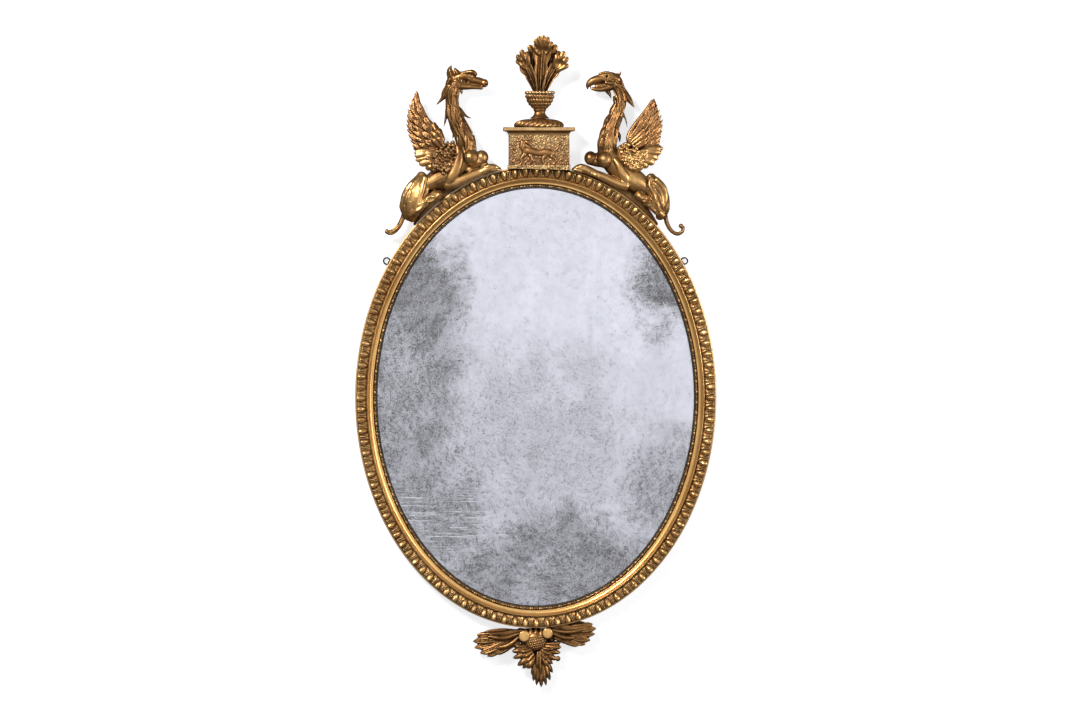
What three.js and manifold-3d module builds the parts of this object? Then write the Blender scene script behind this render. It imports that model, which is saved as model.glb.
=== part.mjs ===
// An oval wall mirror in carved and gilded wood. Two winged beasts lie on the frame on either side
// of a plinth with an urn of acanthus leaves, and an acanthus apron hangs below.
// Sizes are millimetres. Every piece is drawn as it is seen from the front: x to the right, y up,
// z out of the wall towards the viewer, with the origin on the wall at the centre of the oval.

import * as THREE from 'three';
import { mergeVertices } from 'three/addons/utils/BufferGeometryUtils.js';
import Module from 'manifold-3d';

const wasm = await Module();
wasm.setup();

// ---- Driving dimensions ------------------------------------------------------------------

const FIT_GAP = 0.3; // between two pieces that touch
const RING_STEPS = 60; // facets round the plain rings of the frame

// the oval and the bands of its face, measured inwards from the outer edge
const OVAL_HALF_WIDTH = 451;
const OVAL_HALF_HEIGHT = 577.5;
const EDGE_FILLET = 2.8; // plain fillet outside the eggs
const EGG_BAND = 24.6; // width of the egg-and-dart strip
const QUIRK = 2.9; // sunk line between the eggs and the cove
const COVE_BAND = 13.6;
const BEAD_BAND = 6.4;
const SLIP_BAND = 3;

// heights out of the wall
const CARCASS_SEAT = 28; // the flat that the egg strip is glued to
const COVE_CREST = 37;
const COVE_FOOT = 25;
const BEAD_SEAT = 20.5;
const GLASS_FRONT = 18;
const GLASS_THICK = 4;
const BOARD_THICK = 8;
const SLIP_HEIGHT = 3;

// rebates at the back of the carcass
const GLASS_REBATE = 36;
const BOARD_REBATE = 28;
const REBATE_PLAY = 1; // round the glass and the boards
const BOARD_JOINTS = [-125, 125]; // where the three backboards meet
const BLOCK_COUNT = 6;
const BLOCK_LENGTH = 40;
const BLOCK_WIDTH = 12;

// carved bands
const EGG_COUNT = 116;
const EGG_LIFT = 11;
const DART_LIFT = 4.5;
const EGG_SHOULDER = 8; // height of the band between egg and dart
const BEAD_LIFT = 6;
const REEL_LIFT = 4;

// hanging rings on their eye plates
const HANGER_ANGLE = 35.8; // degrees above the horizontal, on the oval's own angle
const WIRE_RADIUS = 2;
const HANGER_RING_RADIUS = 8; // to the middle of the wire
const EYE_SETBACK = 1; // from the frame's edge to the eye, inwards
const EYE_BORE = 3;
const EYE_WALL = 1.6;
const EYE_HALF_LENGTH = 2.8;
const PLATE_LENGTH = 52;
const PLATE_WIDTH = 20;
const PLATE_THICK = 2.5;
const SCREW_SPACING = 34;
const SCREW_LENGTH = 14;
const SCREW_RADIUS = 1.8;
const SCREW_HEAD_RADIUS = 3.6;

// iron stays let into the back
const STAY_WIDTH = 22;
const STAY_THICK = 4;
const STAY_HOLD = 22; // length let into the carcass
const CREST_STAY_REACH = 78; // from the edge of the oval
const BEAST_STAY_REACH = 62;
const BEAST_STAY_ALONG = 251; // along the edge from the top of the oval
const APRON_STAY_REACH = 48;
const CARVING_BACK = STAY_THICK + 2 * FIT_GAP;

// plinth and urn
const CREST_X = 7;
const DIE_HALF_WIDTH = 75;
const DIE_HEIGHT = 76.5; // above the top of the oval
const DIE_FRONT = 56;
const BASE_FILLET = 2.5;
const CORNICE_HEIGHT = 19;
const CORNICE_FILLET = 8.7;
const CORNICE_REACH = 14;
const DOME_HEIGHT = 22;
const DOME_HALF_WIDTH = 62.5;
const DOME_SWELL = 3; // how far a gadroon stands out
const URN_HEIGHT = 69; // with its beaded rim
const URN_FOOT_RADIUS = 24;
const URN_STEM_RADIUS = 13.4;
const URN_RIM_RADIUS = 38;
const RIM_HEIGHT = 10;
const RIM_BEAD_RADIUS = 4.4;
const LEAF_SOCKET = 4; // how deep the leaves stand in the urn
const LOBE_WIDTH = 17; // the pointed lobes at the end of an acanthus leaf
const LOBE_THICK = 5;
const TURNED_DEPTH_RATIO = 0.68; // the turned pieces are oval in plan, to stand on the plinth
const CREST_MIDDLE = 34; // height of the turned pieces' axis out of the wall
const GADROONS = 16;
const RIM_BEADS = 18;

// the winged beasts, as heights out of the wall
const BODY_Z = 32; // the middle of the body
const LEG_Z = 46;
const WING_Z = 38;
const SHOULDER_Z = 52;
const GROUND_DEPTH = 30;
const GROUND_RISE = 36; // how far the ground under a beast stands out from the oval's edge

// the apron
const CALYX_X = -2;
const CALYX_HALF_WIDTH = 45;
const CALYX_DEPTH = 22;
const APRON_DROP = 25; // from the bottom of the oval to the calyx
const ROUNDEL_RADIUS = 13.8;
const ROUNDEL_LENGTH = 14;

const GILT = { color: 0xb8864a, roughness: 0.42, metalness: 0.85 };
const BARE_PINE = { color: 0x9c7a52, roughness: 0.85, metalness: 0 };
const BLACKENED = { color: 0x1d1714, roughness: 0.6, metalness: 0 };
const OLD_IRON = { color: 0x24211f, roughness: 0.65, metalness: 0.9 };
const OLD_SILVER = { color: 0xc9ccd4, roughness: 0.12, metalness: 1 };

// ---- Building blocks ---------------------------------------------------------------------

const TURN = 2 * Math.PI;
const part = new THREE.Group();

function place(name, geometry, finish) {
  const mesh = new THREE.Mesh(geometry, new THREE.MeshStandardMaterial(finish));
  mesh.name = name;
  part.add(mesh);
  return mesh;
}

function welded(geometry) {
  const bare = geometry.clone();
  bare.deleteAttribute('normal');
  bare.deleteAttribute('uv');
  return mergeVertices(bare, 1e-4);
}

function toSolid(geometry) {
  const bare = welded(geometry);
  const mesh = new wasm.Mesh({
    numProp: 3,
    vertProperties: bare.attributes.position.array,
    triVerts: new Uint32Array(bare.index.array),
  });
  return new wasm.Manifold(mesh);
}

function toGeometry(solid) {
  const mesh = solid.getMesh();
  const geometry = new THREE.BufferGeometry();
  geometry.setAttribute('position', new THREE.BufferAttribute(mesh.vertProperties, 3));
  geometry.setIndex(new THREE.BufferAttribute(mesh.triVerts, 1));
  return geometry;
}

function join(...geometries) {
  return toGeometry(geometries.map(toSolid).reduce((whole, next) => whole.add(next)));
}

// Chips that come free in a cut are dropped.
function largest(solid) {
  const bodies = solid.decompose().sort((a, b) => b.volume() - a.volume());
  return toGeometry(bodies[0]);
}

function cut(geometry, ...tools) {
  return largest(
    tools.map(toSolid).reduce((whole, tool) => whole.subtract(tool), toSolid(geometry)),
  );
}

function common(a, b) {
  return toGeometry(toSolid(a).intersect(toSolid(b)));
}

// A skin over rings of points: closed on itself when looped, and capped at both ends when not.
function skin(rings, looped = false) {
  const sides = rings[0].length;
  const points = rings.flat();
  const faces = [];
  const spans = looped ? rings.length : rings.length - 1;
  for (let i = 0; i < spans; i += 1) {
    const next = (i + 1) % rings.length;
    for (let k = 0; k < sides; k += 1) {
      const beside = (k + 1) % sides;
      const a = i * sides + k;
      const b = i * sides + beside;
      const c = next * sides + beside;
      const d = next * sides + k;
      faces.push(a, b, c, a, c, d);
    }
  }
  if (!looped) {
    const last = (rings.length - 1) * sides;
    const middle = (ring) => {
      const sum = ring.reduce((total, point) => total.add(point), new THREE.Vector3());
      return sum.divideScalar(sides);
    };
    points.push(middle(rings[0]), middle(rings[rings.length - 1]));
    for (let k = 0; k < sides; k += 1) {
      const beside = (k + 1) % sides;
      faces.push(points.length - 2, beside, k);
      faces.push(points.length - 1, last + k, last + beside);
    }
  }
  const geometry = new THREE.BufferGeometry().setFromPoints(points);
  geometry.setIndex(faces);
  return facingOut(geometry);
}

function facingOut(geometry) {
  const { position } = geometry.attributes;
  const index = geometry.index.array;
  const corner = [new THREE.Vector3(), new THREE.Vector3(), new THREE.Vector3()];
  let volume = 0;
  for (let i = 0; i < index.length; i += 3) {
    corner.forEach((point, k) => point.fromBufferAttribute(position, index[i + k]));
    volume += corner[0].dot(corner[1].cross(corner[2]));
  }
  if (volume < 0) {
    for (let i = 0; i < index.length; i += 3) {
      [index[i], index[i + 1]] = [index[i + 1], index[i]];
    }
  }
  return geometry;
}

function box(x0, x1, y0, y1, z0, z1) {
  const block = new THREE.BoxGeometry(x1 - x0, y1 - y0, z1 - z0);
  return block.translate((x0 + x1) / 2, (y0 + y1) / 2, (z0 + z1) / 2);
}

// The carved shapes below take a play: with it they come out that much fuller all round, which
// makes the tool that cuts their neighbours clear of them.

// Stations along a curve whose keys hold x, y, z, half the width seen from the front and half the
// depth.
function stations(keys, steps, play) {
  const spine = new THREE.CatmullRomCurve3(keys.map(([x, y, z]) => new THREE.Vector3(x, y, z)));
  const girth = new THREE.CatmullRomCurve3(
    keys.map(([, , , wide, deep], i) => new THREE.Vector3(wide, deep, i)),
  );
  return Array.from({ length: steps + 1 }, (_, i) => {
    const at = spine.getPoint(i / steps);
    const along = spine.getTangent(i / steps);
    const across = new THREE.Vector3(-along.y, along.x, 0).normalize();
    const size = girth.getPoint(i / steps);
    if (i === 0) at.addScaledVector(along, -play);
    if (i === steps) at.addScaledVector(along, play);
    return { at, across, wide: size.x + play, deep: size.y + play, share: i / steps };
  });
}

// A carved member with an oval section.
function limb(keys, steps, sides, play = 0) {
  const rings = stations(keys, steps, play).map(({ at, across, wide, deep }) =>
    Array.from({ length: sides }, (_, k) => {
      const angle = (TURN * (k + 0.5)) / sides;
      const point = at.clone().addScaledVector(across, wide * Math.cos(angle));
      point.z += deep * Math.sin(angle);
      return point;
    }));
  return skin(rings);
}

// A pointed feather or leaf lobe with a ridge down its middle.
function feather(root, tip, width, thick, play = 0) {
  const middle = root.clone().lerp(tip, 0.45);
  const half = width / 2;
  const keys = [
    [...root.toArray(), 0.7 * half, thick], [...middle.toArray(), half, 0.8 * thick],
    [...tip.toArray(), 0.6, 0.6],
  ];
  const rings = stations(keys, 2, play).map(({ at, across, wide, deep }) => {
    const edge = (reach, lift) => {
      const point = at.clone().addScaledVector(across, reach);
      point.z += lift;
      return point;
    };
    return [edge(wide, 0), edge(0, deep), edge(-wide, 0), edge(0, -deep / 2 - play)];
  });
  return skin(rings);
}

// Feathers side by side, from a curve of roots to a curve of tips.
function fan(roots, tips, count, width, thick, play = 0) {
  const rootLine = new THREE.CatmullRomCurve3(roots.map((p) => new THREE.Vector3(...p)));
  const tipLine = new THREE.CatmullRomCurve3(tips.map((p) => new THREE.Vector3(...p)));
  return Array.from({ length: count }, (_, i) => {
    const share = i / (count - 1);
    return feather(rootLine.getPoint(share), tipLine.getPoint(share), width, thick, play);
  });
}

// An acanthus leaf: its edges swell into lobes, and the blade is dished either side of its rib.
function acanthus(keys, lobes, steps, play = 0) {
  const rings = stations(keys, steps, play).map(({ at, across, wide, deep, share }) => {
    const half = wide * (1 - 0.28 * Math.abs(Math.cos(Math.PI * lobes * share)));
    const side = (reach, lift) => {
      const point = at.clone().addScaledVector(across, half * reach);
      point.z += lift;
      return point;
    };
    return [
      side(1, 0.5 * deep), side(0.5, 0.3 * deep), side(0, deep),
      side(-0.5, 0.3 * deep), side(-1, 0.5 * deep), side(0, -deep),
    ];
  });
  return skin(rings);
}

// A turned piece, oval in plan. A level holds the height, the radius, and how deep its lobes are.
function turned(levels, sides, x, play = 0, lobes = 0, twist = 0) {
  const rings = levels.map(([y, radius, carve = 0], i) =>
    Array.from({ length: sides }, (_, k) => {
      const angle = (TURN * k) / sides;
      const reach = radius + carve * Math.cos(lobes * angle + twist * i) + 1.5 * play;
      const lift = [-play, ...Array(levels.length - 2).fill(0), play][i];
      return new THREE.Vector3(
        x + reach * Math.cos(angle), y + lift,
        CREST_MIDDLE + TURNED_DEPTH_RATIO * reach * Math.sin(angle),
      );
    }));
  return skin(rings);
}

// ---- The oval frame ----------------------------------------------------------------------

const oval = new THREE.EllipseCurve(0, 0, OVAL_HALF_WIDTH, OVAL_HALF_HEIGHT);
oval.arcLengthDivisions = 8 * EGG_COUNT;

function outwardAt(angle) {
  const x = Math.cos(angle) / OVAL_HALF_WIDTH;
  const y = Math.sin(angle) / OVAL_HALF_HEIGHT;
  return new THREE.Vector2(x, y).normalize();
}

function ovalPoint(angle, inset, height) {
  const out = outwardAt(angle);
  const x = OVAL_HALF_WIDTH * Math.cos(angle) - inset * out.x;
  const y = OVAL_HALF_HEIGHT * Math.sin(angle) - inset * out.y;
  return new THREE.Vector3(x, y, height);
}

// The oval's own angle after a share of its way round, so that carved repeats are evenly spaced.
const angleAfter = (share) => TURN * oval.getUtoTmapping(((share % 1) + 1) % 1);

// The oval's own angle at a distance along its edge, from its top and clockwise.
const angleAlong = (distance) => angleAfter(0.25 - distance / oval.getLength());

// A ring round the oval; its section is [inset, height] points and may change on the way round.
function ovalRing(sectionAt, steps, shares = (i) => i / steps) {
  const rings = Array.from({ length: steps }, (_, i) => {
    const angle = angleAfter(shares(i));
    return sectionAt(i).map(([inset, height]) => ovalPoint(angle, inset, height));
  });
  return skin(rings, true);
}

function ovalDisc(inset, z0, z1) {
  const rim = (z) => Array.from({ length: RING_STEPS }, (_, i) =>
    ovalPoint(angleAfter(i / RING_STEPS), inset, z));
  return skin([rim(z0), rim(z1)]);
}

const eggStart = EDGE_FILLET + FIT_GAP;
const eggEnd = eggStart + EGG_BAND;
const coveStart = eggEnd + QUIRK;
const coveEnd = coveStart + COVE_BAND;
// a facet of the carcass stands this far inside the true curve, which the finer bands follow
const facetPlay = 1.2;
const beadStart = coveEnd + facetPlay + FIT_GAP;
const beadEnd = beadStart + BEAD_BAND;
const lipEnd = beadEnd + FIT_GAP;
const slipStart = lipEnd + FIT_GAP;
const glassBack = GLASS_FRONT - GLASS_THICK;
const lipBack = GLASS_FRONT + FIT_GAP;
const boardLedge = BOARD_THICK + FIT_GAP;

// The cove is a quarter of an ellipse from its crest down to its foot.
const COVE_STEPS = 3;
const cove = Array.from({ length: COVE_STEPS + 1 }, (_, i) => {
  const angle = (Math.PI / 2) * (i / COVE_STEPS);
  const inset = coveStart + 1.5 + (COVE_BAND - 3) * (1 - Math.cos(angle));
  return [inset, COVE_FOOT + (COVE_CREST - COVE_FOOT) * (1 - Math.sin(angle))];
});
const carcassSection = [
  [0, 0], [0, CARCASS_SEAT - 1], [1, CARCASS_SEAT],
  [coveStart, CARCASS_SEAT], [coveStart, COVE_CREST],
  ...cove,
  [coveEnd, COVE_FOOT], [coveEnd, BEAD_SEAT], [lipEnd, BEAD_SEAT], [lipEnd, lipBack],
  [GLASS_REBATE, lipBack], [GLASS_REBATE, boardLedge],
  [BOARD_REBATE, boardLedge], [BOARD_REBATE, 0],
];
let carcass = ovalRing(() => carcassSection, RING_STEPS);

// One egg and one dart take four sections: egg, valley, dart, valley.
const eggSection = (i) => {
  const phase = i % 4;
  const lift = [EGG_LIFT, 0, DART_LIFT, 0][phase];
  const foot = CARCASS_SEAT + FIT_GAP;
  const tipInset = eggEnd - [2, 4, 0.8, 4][phase];
  return [
    [eggStart, foot],
    [eggStart + 0.22 * EGG_BAND, foot + EGG_SHOULDER + lift],
    [tipInset, foot + 0.6 * EGG_SHOULDER + 0.4 * lift],
    [eggEnd, foot],
  ];
};
const eggShare = (i) => (Math.floor(i / 4) + [0, 0.31, 0.5, 0.69][i % 4]) / EGG_COUNT;
place('egg_and_dart_moulding', ovalRing(eggSection, 4 * EGG_COUNT, eggShare), GILT);

// A long bead and a pair of reels for every egg.
const beadSection = (i) => {
  const bead = i % 2 === 0;
  const lift = bead ? BEAD_LIFT : REEL_LIFT;
  const pinch = bead ? 0 : 0.9;
  const foot = BEAD_SEAT + FIT_GAP;
  return [
    [beadStart + pinch, foot], [(beadStart + beadEnd) / 2, foot + lift], [beadEnd - pinch, foot],
  ];
};
place('bead_and_reel_moulding', ovalRing(beadSection, 2 * EGG_COUNT), GILT);

const slipSection = [
  [slipStart, lipBack], [slipStart, lipBack + SLIP_HEIGHT], [slipStart + SLIP_BAND, lipBack],
];
place('sight_slip', ovalRing(() => slipSection, RING_STEPS), BLACKENED);

const plate = ovalDisc(GLASS_REBATE + REBATE_PLAY, glassBack, GLASS_FRONT);
place('mirror_plate', plate, OLD_SILVER);

// Three vertical boards close the back.
const boardOval = ovalDisc(BOARD_REBATE + REBATE_PLAY, 0, BOARD_THICK);
const boardEdges = [-OVAL_HALF_WIDTH, ...BOARD_JOINTS, OVAL_HALF_WIDTH];
['left', 'centre', 'right'].forEach((side, i) => {
  const slab = box(
    boardEdges[i] + FIT_GAP / 2, boardEdges[i + 1] - FIT_GAP / 2,
    -OVAL_HALF_HEIGHT, OVAL_HALF_HEIGHT, -1, BOARD_THICK + 1,
  );
  place(`backboard_${side}`, common(boardOval, slab), BARE_PINE);
});

// Glue blocks in the rebate hold the glass against its lip. Their ends touch the curved wall.
const tightestRadius = OVAL_HALF_WIDTH ** 2 / OVAL_HALF_HEIGHT - GLASS_REBATE;
const blockSag = BLOCK_LENGTH ** 2 / (8 * tightestRadius);
for (let i = 0; i < BLOCK_COUNT; i += 1) {
  const angle = angleAfter((i + 0.5) / BLOCK_COUNT);
  const inset = GLASS_REBATE + facetPlay + blockSag + FIT_GAP + BLOCK_WIDTH / 2;
  const at = ovalPoint(angle, inset, 0);
  const out = outwardAt(angle);
  const height = glassBack - boardLedge - 2 * FIT_GAP;
  const block = place(
    `glazing_block_${i + 1}`, new THREE.BoxGeometry(BLOCK_WIDTH, BLOCK_LENGTH, height), BARE_PINE,
  );
  block.position.set(at.x, at.y, boardLedge + FIT_GAP + height / 2);
  block.rotation.z = Math.atan2(out.y, out.x);
}

// ---- Hanging rings -----------------------------------------------------------------------

const eyeOuter = EYE_BORE + EYE_WALL;
const eyeHeight = eyeOuter + FIT_GAP;

// A countersunk screw, or with play the hole that it goes in.
function screwAt(x, y, play = 0) {
  const profile = [
    [0, FIT_GAP - play], [SCREW_HEAD_RADIUS + play, FIT_GAP - play],
    [SCREW_RADIUS + play, PLATE_THICK], [SCREW_RADIUS + play, SCREW_LENGTH - 3],
    [0, SCREW_LENGTH + play],
  ];
  const turning = profile.map(([radius, depth]) => new THREE.Vector2(radius, depth));
  return new THREE.LatheGeometry(turning, 8).rotateX(Math.PI / 2).translate(x, y, 0);
}

['left', 'right'].forEach((side, turn) => {
  const angle = turn ? THREE.MathUtils.degToRad(HANGER_ANGLE)
    : Math.PI - THREE.MathUtils.degToRad(HANGER_ANGLE);
  const edge = ovalPoint(angle, 0, 0);
  const out = outwardAt(angle);
  // drawn with x square to the frame's edge, outwards, and y along the edge
  const spot = new THREE.Matrix4().makeRotationZ(Math.atan2(out.y, out.x));
  spot.setPosition(edge);

  const plateOuter = -EYE_SETBACK - EYE_BORE;
  const leaf = box(
    plateOuter - PLATE_WIDTH, plateOuter, -PLATE_LENGTH / 2, PLATE_LENGTH / 2,
    FIT_GAP, FIT_GAP + PLATE_THICK,
  );
  const roll = new THREE.Shape().absarc(0, 0, eyeOuter, 0, TURN);
  const eye = new THREE.ExtrudeGeometry(roll, {
    depth: 2 * EYE_HALF_LENGTH, bevelEnabled: false, curveSegments: 6,
  });
  eye.translate(0, 0, -EYE_HALF_LENGTH).rotateX(Math.PI / 2);
  eye.translate(-EYE_SETBACK, 0, eyeHeight);
  const bore = new THREE.CylinderGeometry(EYE_BORE, EYE_BORE, PLATE_LENGTH / 3, 12);
  bore.translate(-EYE_SETBACK, 0, eyeHeight);
  const screwPair = (play) => [-SCREW_SPACING / 2, SCREW_SPACING / 2].map((y) =>
    screwAt(plateOuter - PLATE_WIDTH / 2, y, play));
  const screws = screwPair(0);
  const holes = screwPair(FIT_GAP);
  const hanger = cut(join(leaf, eye), bore, ...screwPair(FIT_GAP));

  const notch = box(
    -EYE_SETBACK - eyeOuter - 3 * FIT_GAP, 2,
    -HANGER_RING_RADIUS - 2 * WIRE_RADIUS, HANGER_RING_RADIUS + 2 * WIRE_RADIUS,
    -1, eyeHeight + 2 * HANGER_RING_RADIUS + 1.6 * WIRE_RADIUS,
  );
  const pocket = box(
    plateOuter - PLATE_WIDTH - FIT_GAP, 1, -PLATE_LENGTH / 2 - FIT_GAP,
    PLATE_LENGTH / 2 + FIT_GAP, -1, PLATE_THICK + 2 * FIT_GAP,
  );
  const ring = new THREE.TorusGeometry(HANGER_RING_RADIUS, WIRE_RADIUS, 6, 16);
  ring.translate(HANGER_RING_RADIUS - EYE_SETBACK, 0, eyeHeight);

  [notch, pocket, ring, hanger, ...screws, ...holes].forEach((shape) => shape.applyMatrix4(spot));
  carcass = cut(carcass, notch, pocket, ...holes);
  place(`hanger_plate_${side}`, hanger, OLD_IRON);
  place(`hanging_ring_${side}`, ring, OLD_IRON);
  screws.forEach((screw, i) => place(`hanger_screw_${side}_${i + 1}`, screw, OLD_IRON));
});

// ---- Iron stays --------------------------------------------------------------------------

// A flat bar let into the back of the carcass, which reaches out behind a carving.
function addStay(name, angle, reach) {
  const edge = ovalPoint(angle, 0, 0);
  const out = outwardAt(angle);
  const end = STAY_WIDTH / 2;
  const outline = new THREE.Shape();
  outline.moveTo(-STAY_HOLD, -end).lineTo(reach - end, -end);
  outline.absarc(reach - end, 0, end, -Math.PI / 2, Math.PI / 2);
  outline.lineTo(-STAY_HOLD, end);
  const bar = new THREE.ExtrudeGeometry(outline, {
    depth: STAY_THICK, bevelEnabled: false, curveSegments: 6,
  });
  bar.translate(0, 0, FIT_GAP).rotateZ(Math.atan2(out.y, out.x));
  bar.translate(edge.x, edge.y, 0);
  const housing = box(-STAY_HOLD - FIT_GAP, 2, -end - FIT_GAP, end + FIT_GAP, -1, CARVING_BACK);
  housing.rotateZ(Math.atan2(out.y, out.x)).translate(edge.x, edge.y, 0);
  carcass = cut(carcass, housing);
  place(name, bar, OLD_IRON);
}

addStay('crest_stay', angleAlong(CREST_X), CREST_STAY_REACH);
addStay('beast_stay_left', angleAlong(-BEAST_STAY_ALONG), BEAST_STAY_REACH);
addStay('beast_stay_right', angleAlong(BEAST_STAY_ALONG), BEAST_STAY_REACH);
addStay('apron_stay', angleAlong(oval.getLength() / 2), APRON_STAY_REACH);

// the carvings sit on the outer edge of the oval
const beyond = 2 * OVAL_HALF_HEIGHT;
const bed = ovalDisc(-FIT_GAP, -beyond, beyond);
// and nothing of them comes nearer to the wall than this
const wallSide = box(-beyond, beyond, -beyond, beyond, -beyond, CARVING_BACK);
const onFrame = (geometry) => cut(geometry, bed, wallSide);

// ---- Plinth, urn and plume ---------------------------------------------------------------

function squared(levels, back) {
  const rings = levels.map(([y, half, front]) => [
    new THREE.Vector3(CREST_X - half, y, back), new THREE.Vector3(CREST_X + half, y, back),
    new THREE.Vector3(CREST_X + half, y, front), new THREE.Vector3(CREST_X - half, y, front),
  ]);
  return skin(rings);
}

const dieTop = OVAL_HALF_HEIGHT + DIE_HEIGHT;
const corniceTop = dieTop + CORNICE_HEIGHT;
const domeTop = corniceTop + DOME_HEIGHT;
const urnTop = domeTop + URN_HEIGHT;

// its foot is hollowed over the curve of the oval, so it starts below the top of that
const cornerX = (CREST_X + DIE_HALF_WIDTH + BASE_FILLET) / OVAL_HALF_WIDTH;
const dieBottom = OVAL_HALF_HEIGHT * Math.sqrt(1 - cornerX ** 2) - 1;
const footTop = OVAL_HALF_HEIGHT + BASE_FILLET;
const die = onFrame(squared([
  [dieBottom, DIE_HALF_WIDTH + BASE_FILLET, DIE_FRONT + BASE_FILLET],
  [footTop, DIE_HALF_WIDTH + BASE_FILLET, DIE_FRONT + BASE_FILLET],
  [footTop + 1, DIE_HALF_WIDTH, DIE_FRONT],
  [dieTop - FIT_GAP, DIE_HALF_WIDTH, DIE_FRONT],
], CARVING_BACK));
place('plinth_die', die, GILT);

// The cornice: a cavetto under a plain fillet.
const filletFoot = corniceTop - CORNICE_FILLET;
const cavetto = [0, 0.33, 0.67, 1].map((t) => {
  const reach = (CORNICE_REACH - 2) * (1 - Math.cos((Math.PI / 2) * t));
  const y = dieTop + (filletFoot - dieTop) * Math.sin((Math.PI / 2) * t);
  return [y, DIE_HALF_WIDTH + reach, DIE_FRONT + reach];
});
const cornice = squared([
  ...cavetto,
  [filletFoot + 1, DIE_HALF_WIDTH + CORNICE_REACH, DIE_FRONT + CORNICE_REACH],
  [corniceTop, DIE_HALF_WIDTH + CORNICE_REACH, DIE_FRONT + CORNICE_REACH],
], CARVING_BACK);
place('plinth_cornice', cornice, GILT);

// A walking beast in low relief. Its keys hold x, the height above the oval, and the half sizes.
const reliefLimb = (keys, steps, sides) => limb(
  keys.map(([x, y, wide, deep]) => [CREST_X + x, OVAL_HALF_HEIGHT + y, DIE_FRONT, wide, deep]),
  steps, sides,
);
const relief = join(
  reliefLimb([[-36, 34, 11, 6], [-14, 37, 9, 7], [10, 35, 10, 6], [30, 32, 9, 4]], 4, 6),
  reliefLimb([[-30, 38, 9, 5], [-40, 51, 8, 6], [-50, 55, 6, 4]], 3, 5),
  reliefLimb([[-34, 30, 5, 4], [-40, 14, 3.6, 4], [-46, 6, 3, 2]], 2, 4),
  reliefLimb([[-20, 30, 5, 4], [-18, 14, 3.4, 4], [-24, 6, 3, 2]], 2, 4),
  reliefLimb([[14, 32, 7, 4], [22, 16, 4, 4], [16, 6, 3, 2]], 2, 4),
  reliefLimb([[28, 32, 7, 4], [38, 18, 4, 4], [34, 7, 3, 2]], 2, 4),
  reliefLimb([[28, 35, 3, 3], [42, 42, 2.5, 3], [48, 54, 2, 2]], 2, 4),
);
const insideDie = box(-beyond, beyond, -beyond, beyond, -beyond, DIE_FRONT + FIT_GAP);
place('plinth_relief', cut(relief, insideDie), GILT);

// Gadroons twist round a low dome.
const domeFoot = corniceTop + FIT_GAP;
const domeLevels = [0, 0.4, 0.78, 1].map((t) => {
  const shrink = Math.cos((Math.PI / 2) * (0.74 * t));
  const y = domeFoot + (domeTop - domeFoot) * Math.sin((Math.PI / 2) * t);
  return [y, DOME_HALF_WIDTH * shrink - DOME_SWELL, DOME_SWELL * (1 - t)];
});
const dome = cut(turned(domeLevels, 2 * GADROONS, CREST_X, 0, GADROONS, 0.9), wallSide);
place('gadrooned_dome', dome, GILT);

// The urn's profile: shares of its height, and radii.
const urnX = CREST_X + 2;
const urnFoot = domeTop + FIT_GAP;
const rimFoot = urnTop - RIM_HEIGHT;
const bowlRadius = URN_RIM_RADIUS - 2;
const urnProfile = [
  [0, URN_FOOT_RADIUS], [0.08, 0.75 * URN_FOOT_RADIUS], [0.24, URN_STEM_RADIUS],
  [0.37, 1.1 * URN_STEM_RADIUS], [0.49, 0.6 * bowlRadius], [0.64, 0.8 * bowlRadius],
  [0.85, 0.94 * bowlRadius], [1, bowlRadius],
];
const urn = (play) => turned(
  urnProfile.map(([share, radius]) => [urnFoot + share * (rimFoot - urnFoot), radius]),
  16, urnX, play,
);
place('urn', urn(0), GILT);

// A row of beads round the lip of the urn.
const rimMiddle = urnTop - RIM_HEIGHT / 2;
const rim = (play) => skin(Array.from({ length: 2 * RIM_BEADS }, (_, i) => {
  const angle = (TURN * i) / (2 * RIM_BEADS);
  const bulge = RIM_BEAD_RADIUS * (i % 2 ? 0.7 : 1) + play;
  return [[-bulge, 0], [0, bulge], [bulge, 0], [0, -bulge]].map(([reach, lift]) => {
    const radius = URN_RIM_RADIUS - RIM_BEAD_RADIUS + reach;
    return new THREE.Vector3(
      urnX + radius * Math.cos(angle), rimMiddle + lift,
      CREST_MIDDLE + TURNED_DEPTH_RATIO * radius * Math.sin(angle),
    );
  });
}), true);
place('urn_beaded_rim', cut(rim(0), urn(FIT_GAP)), GILT);

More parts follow.
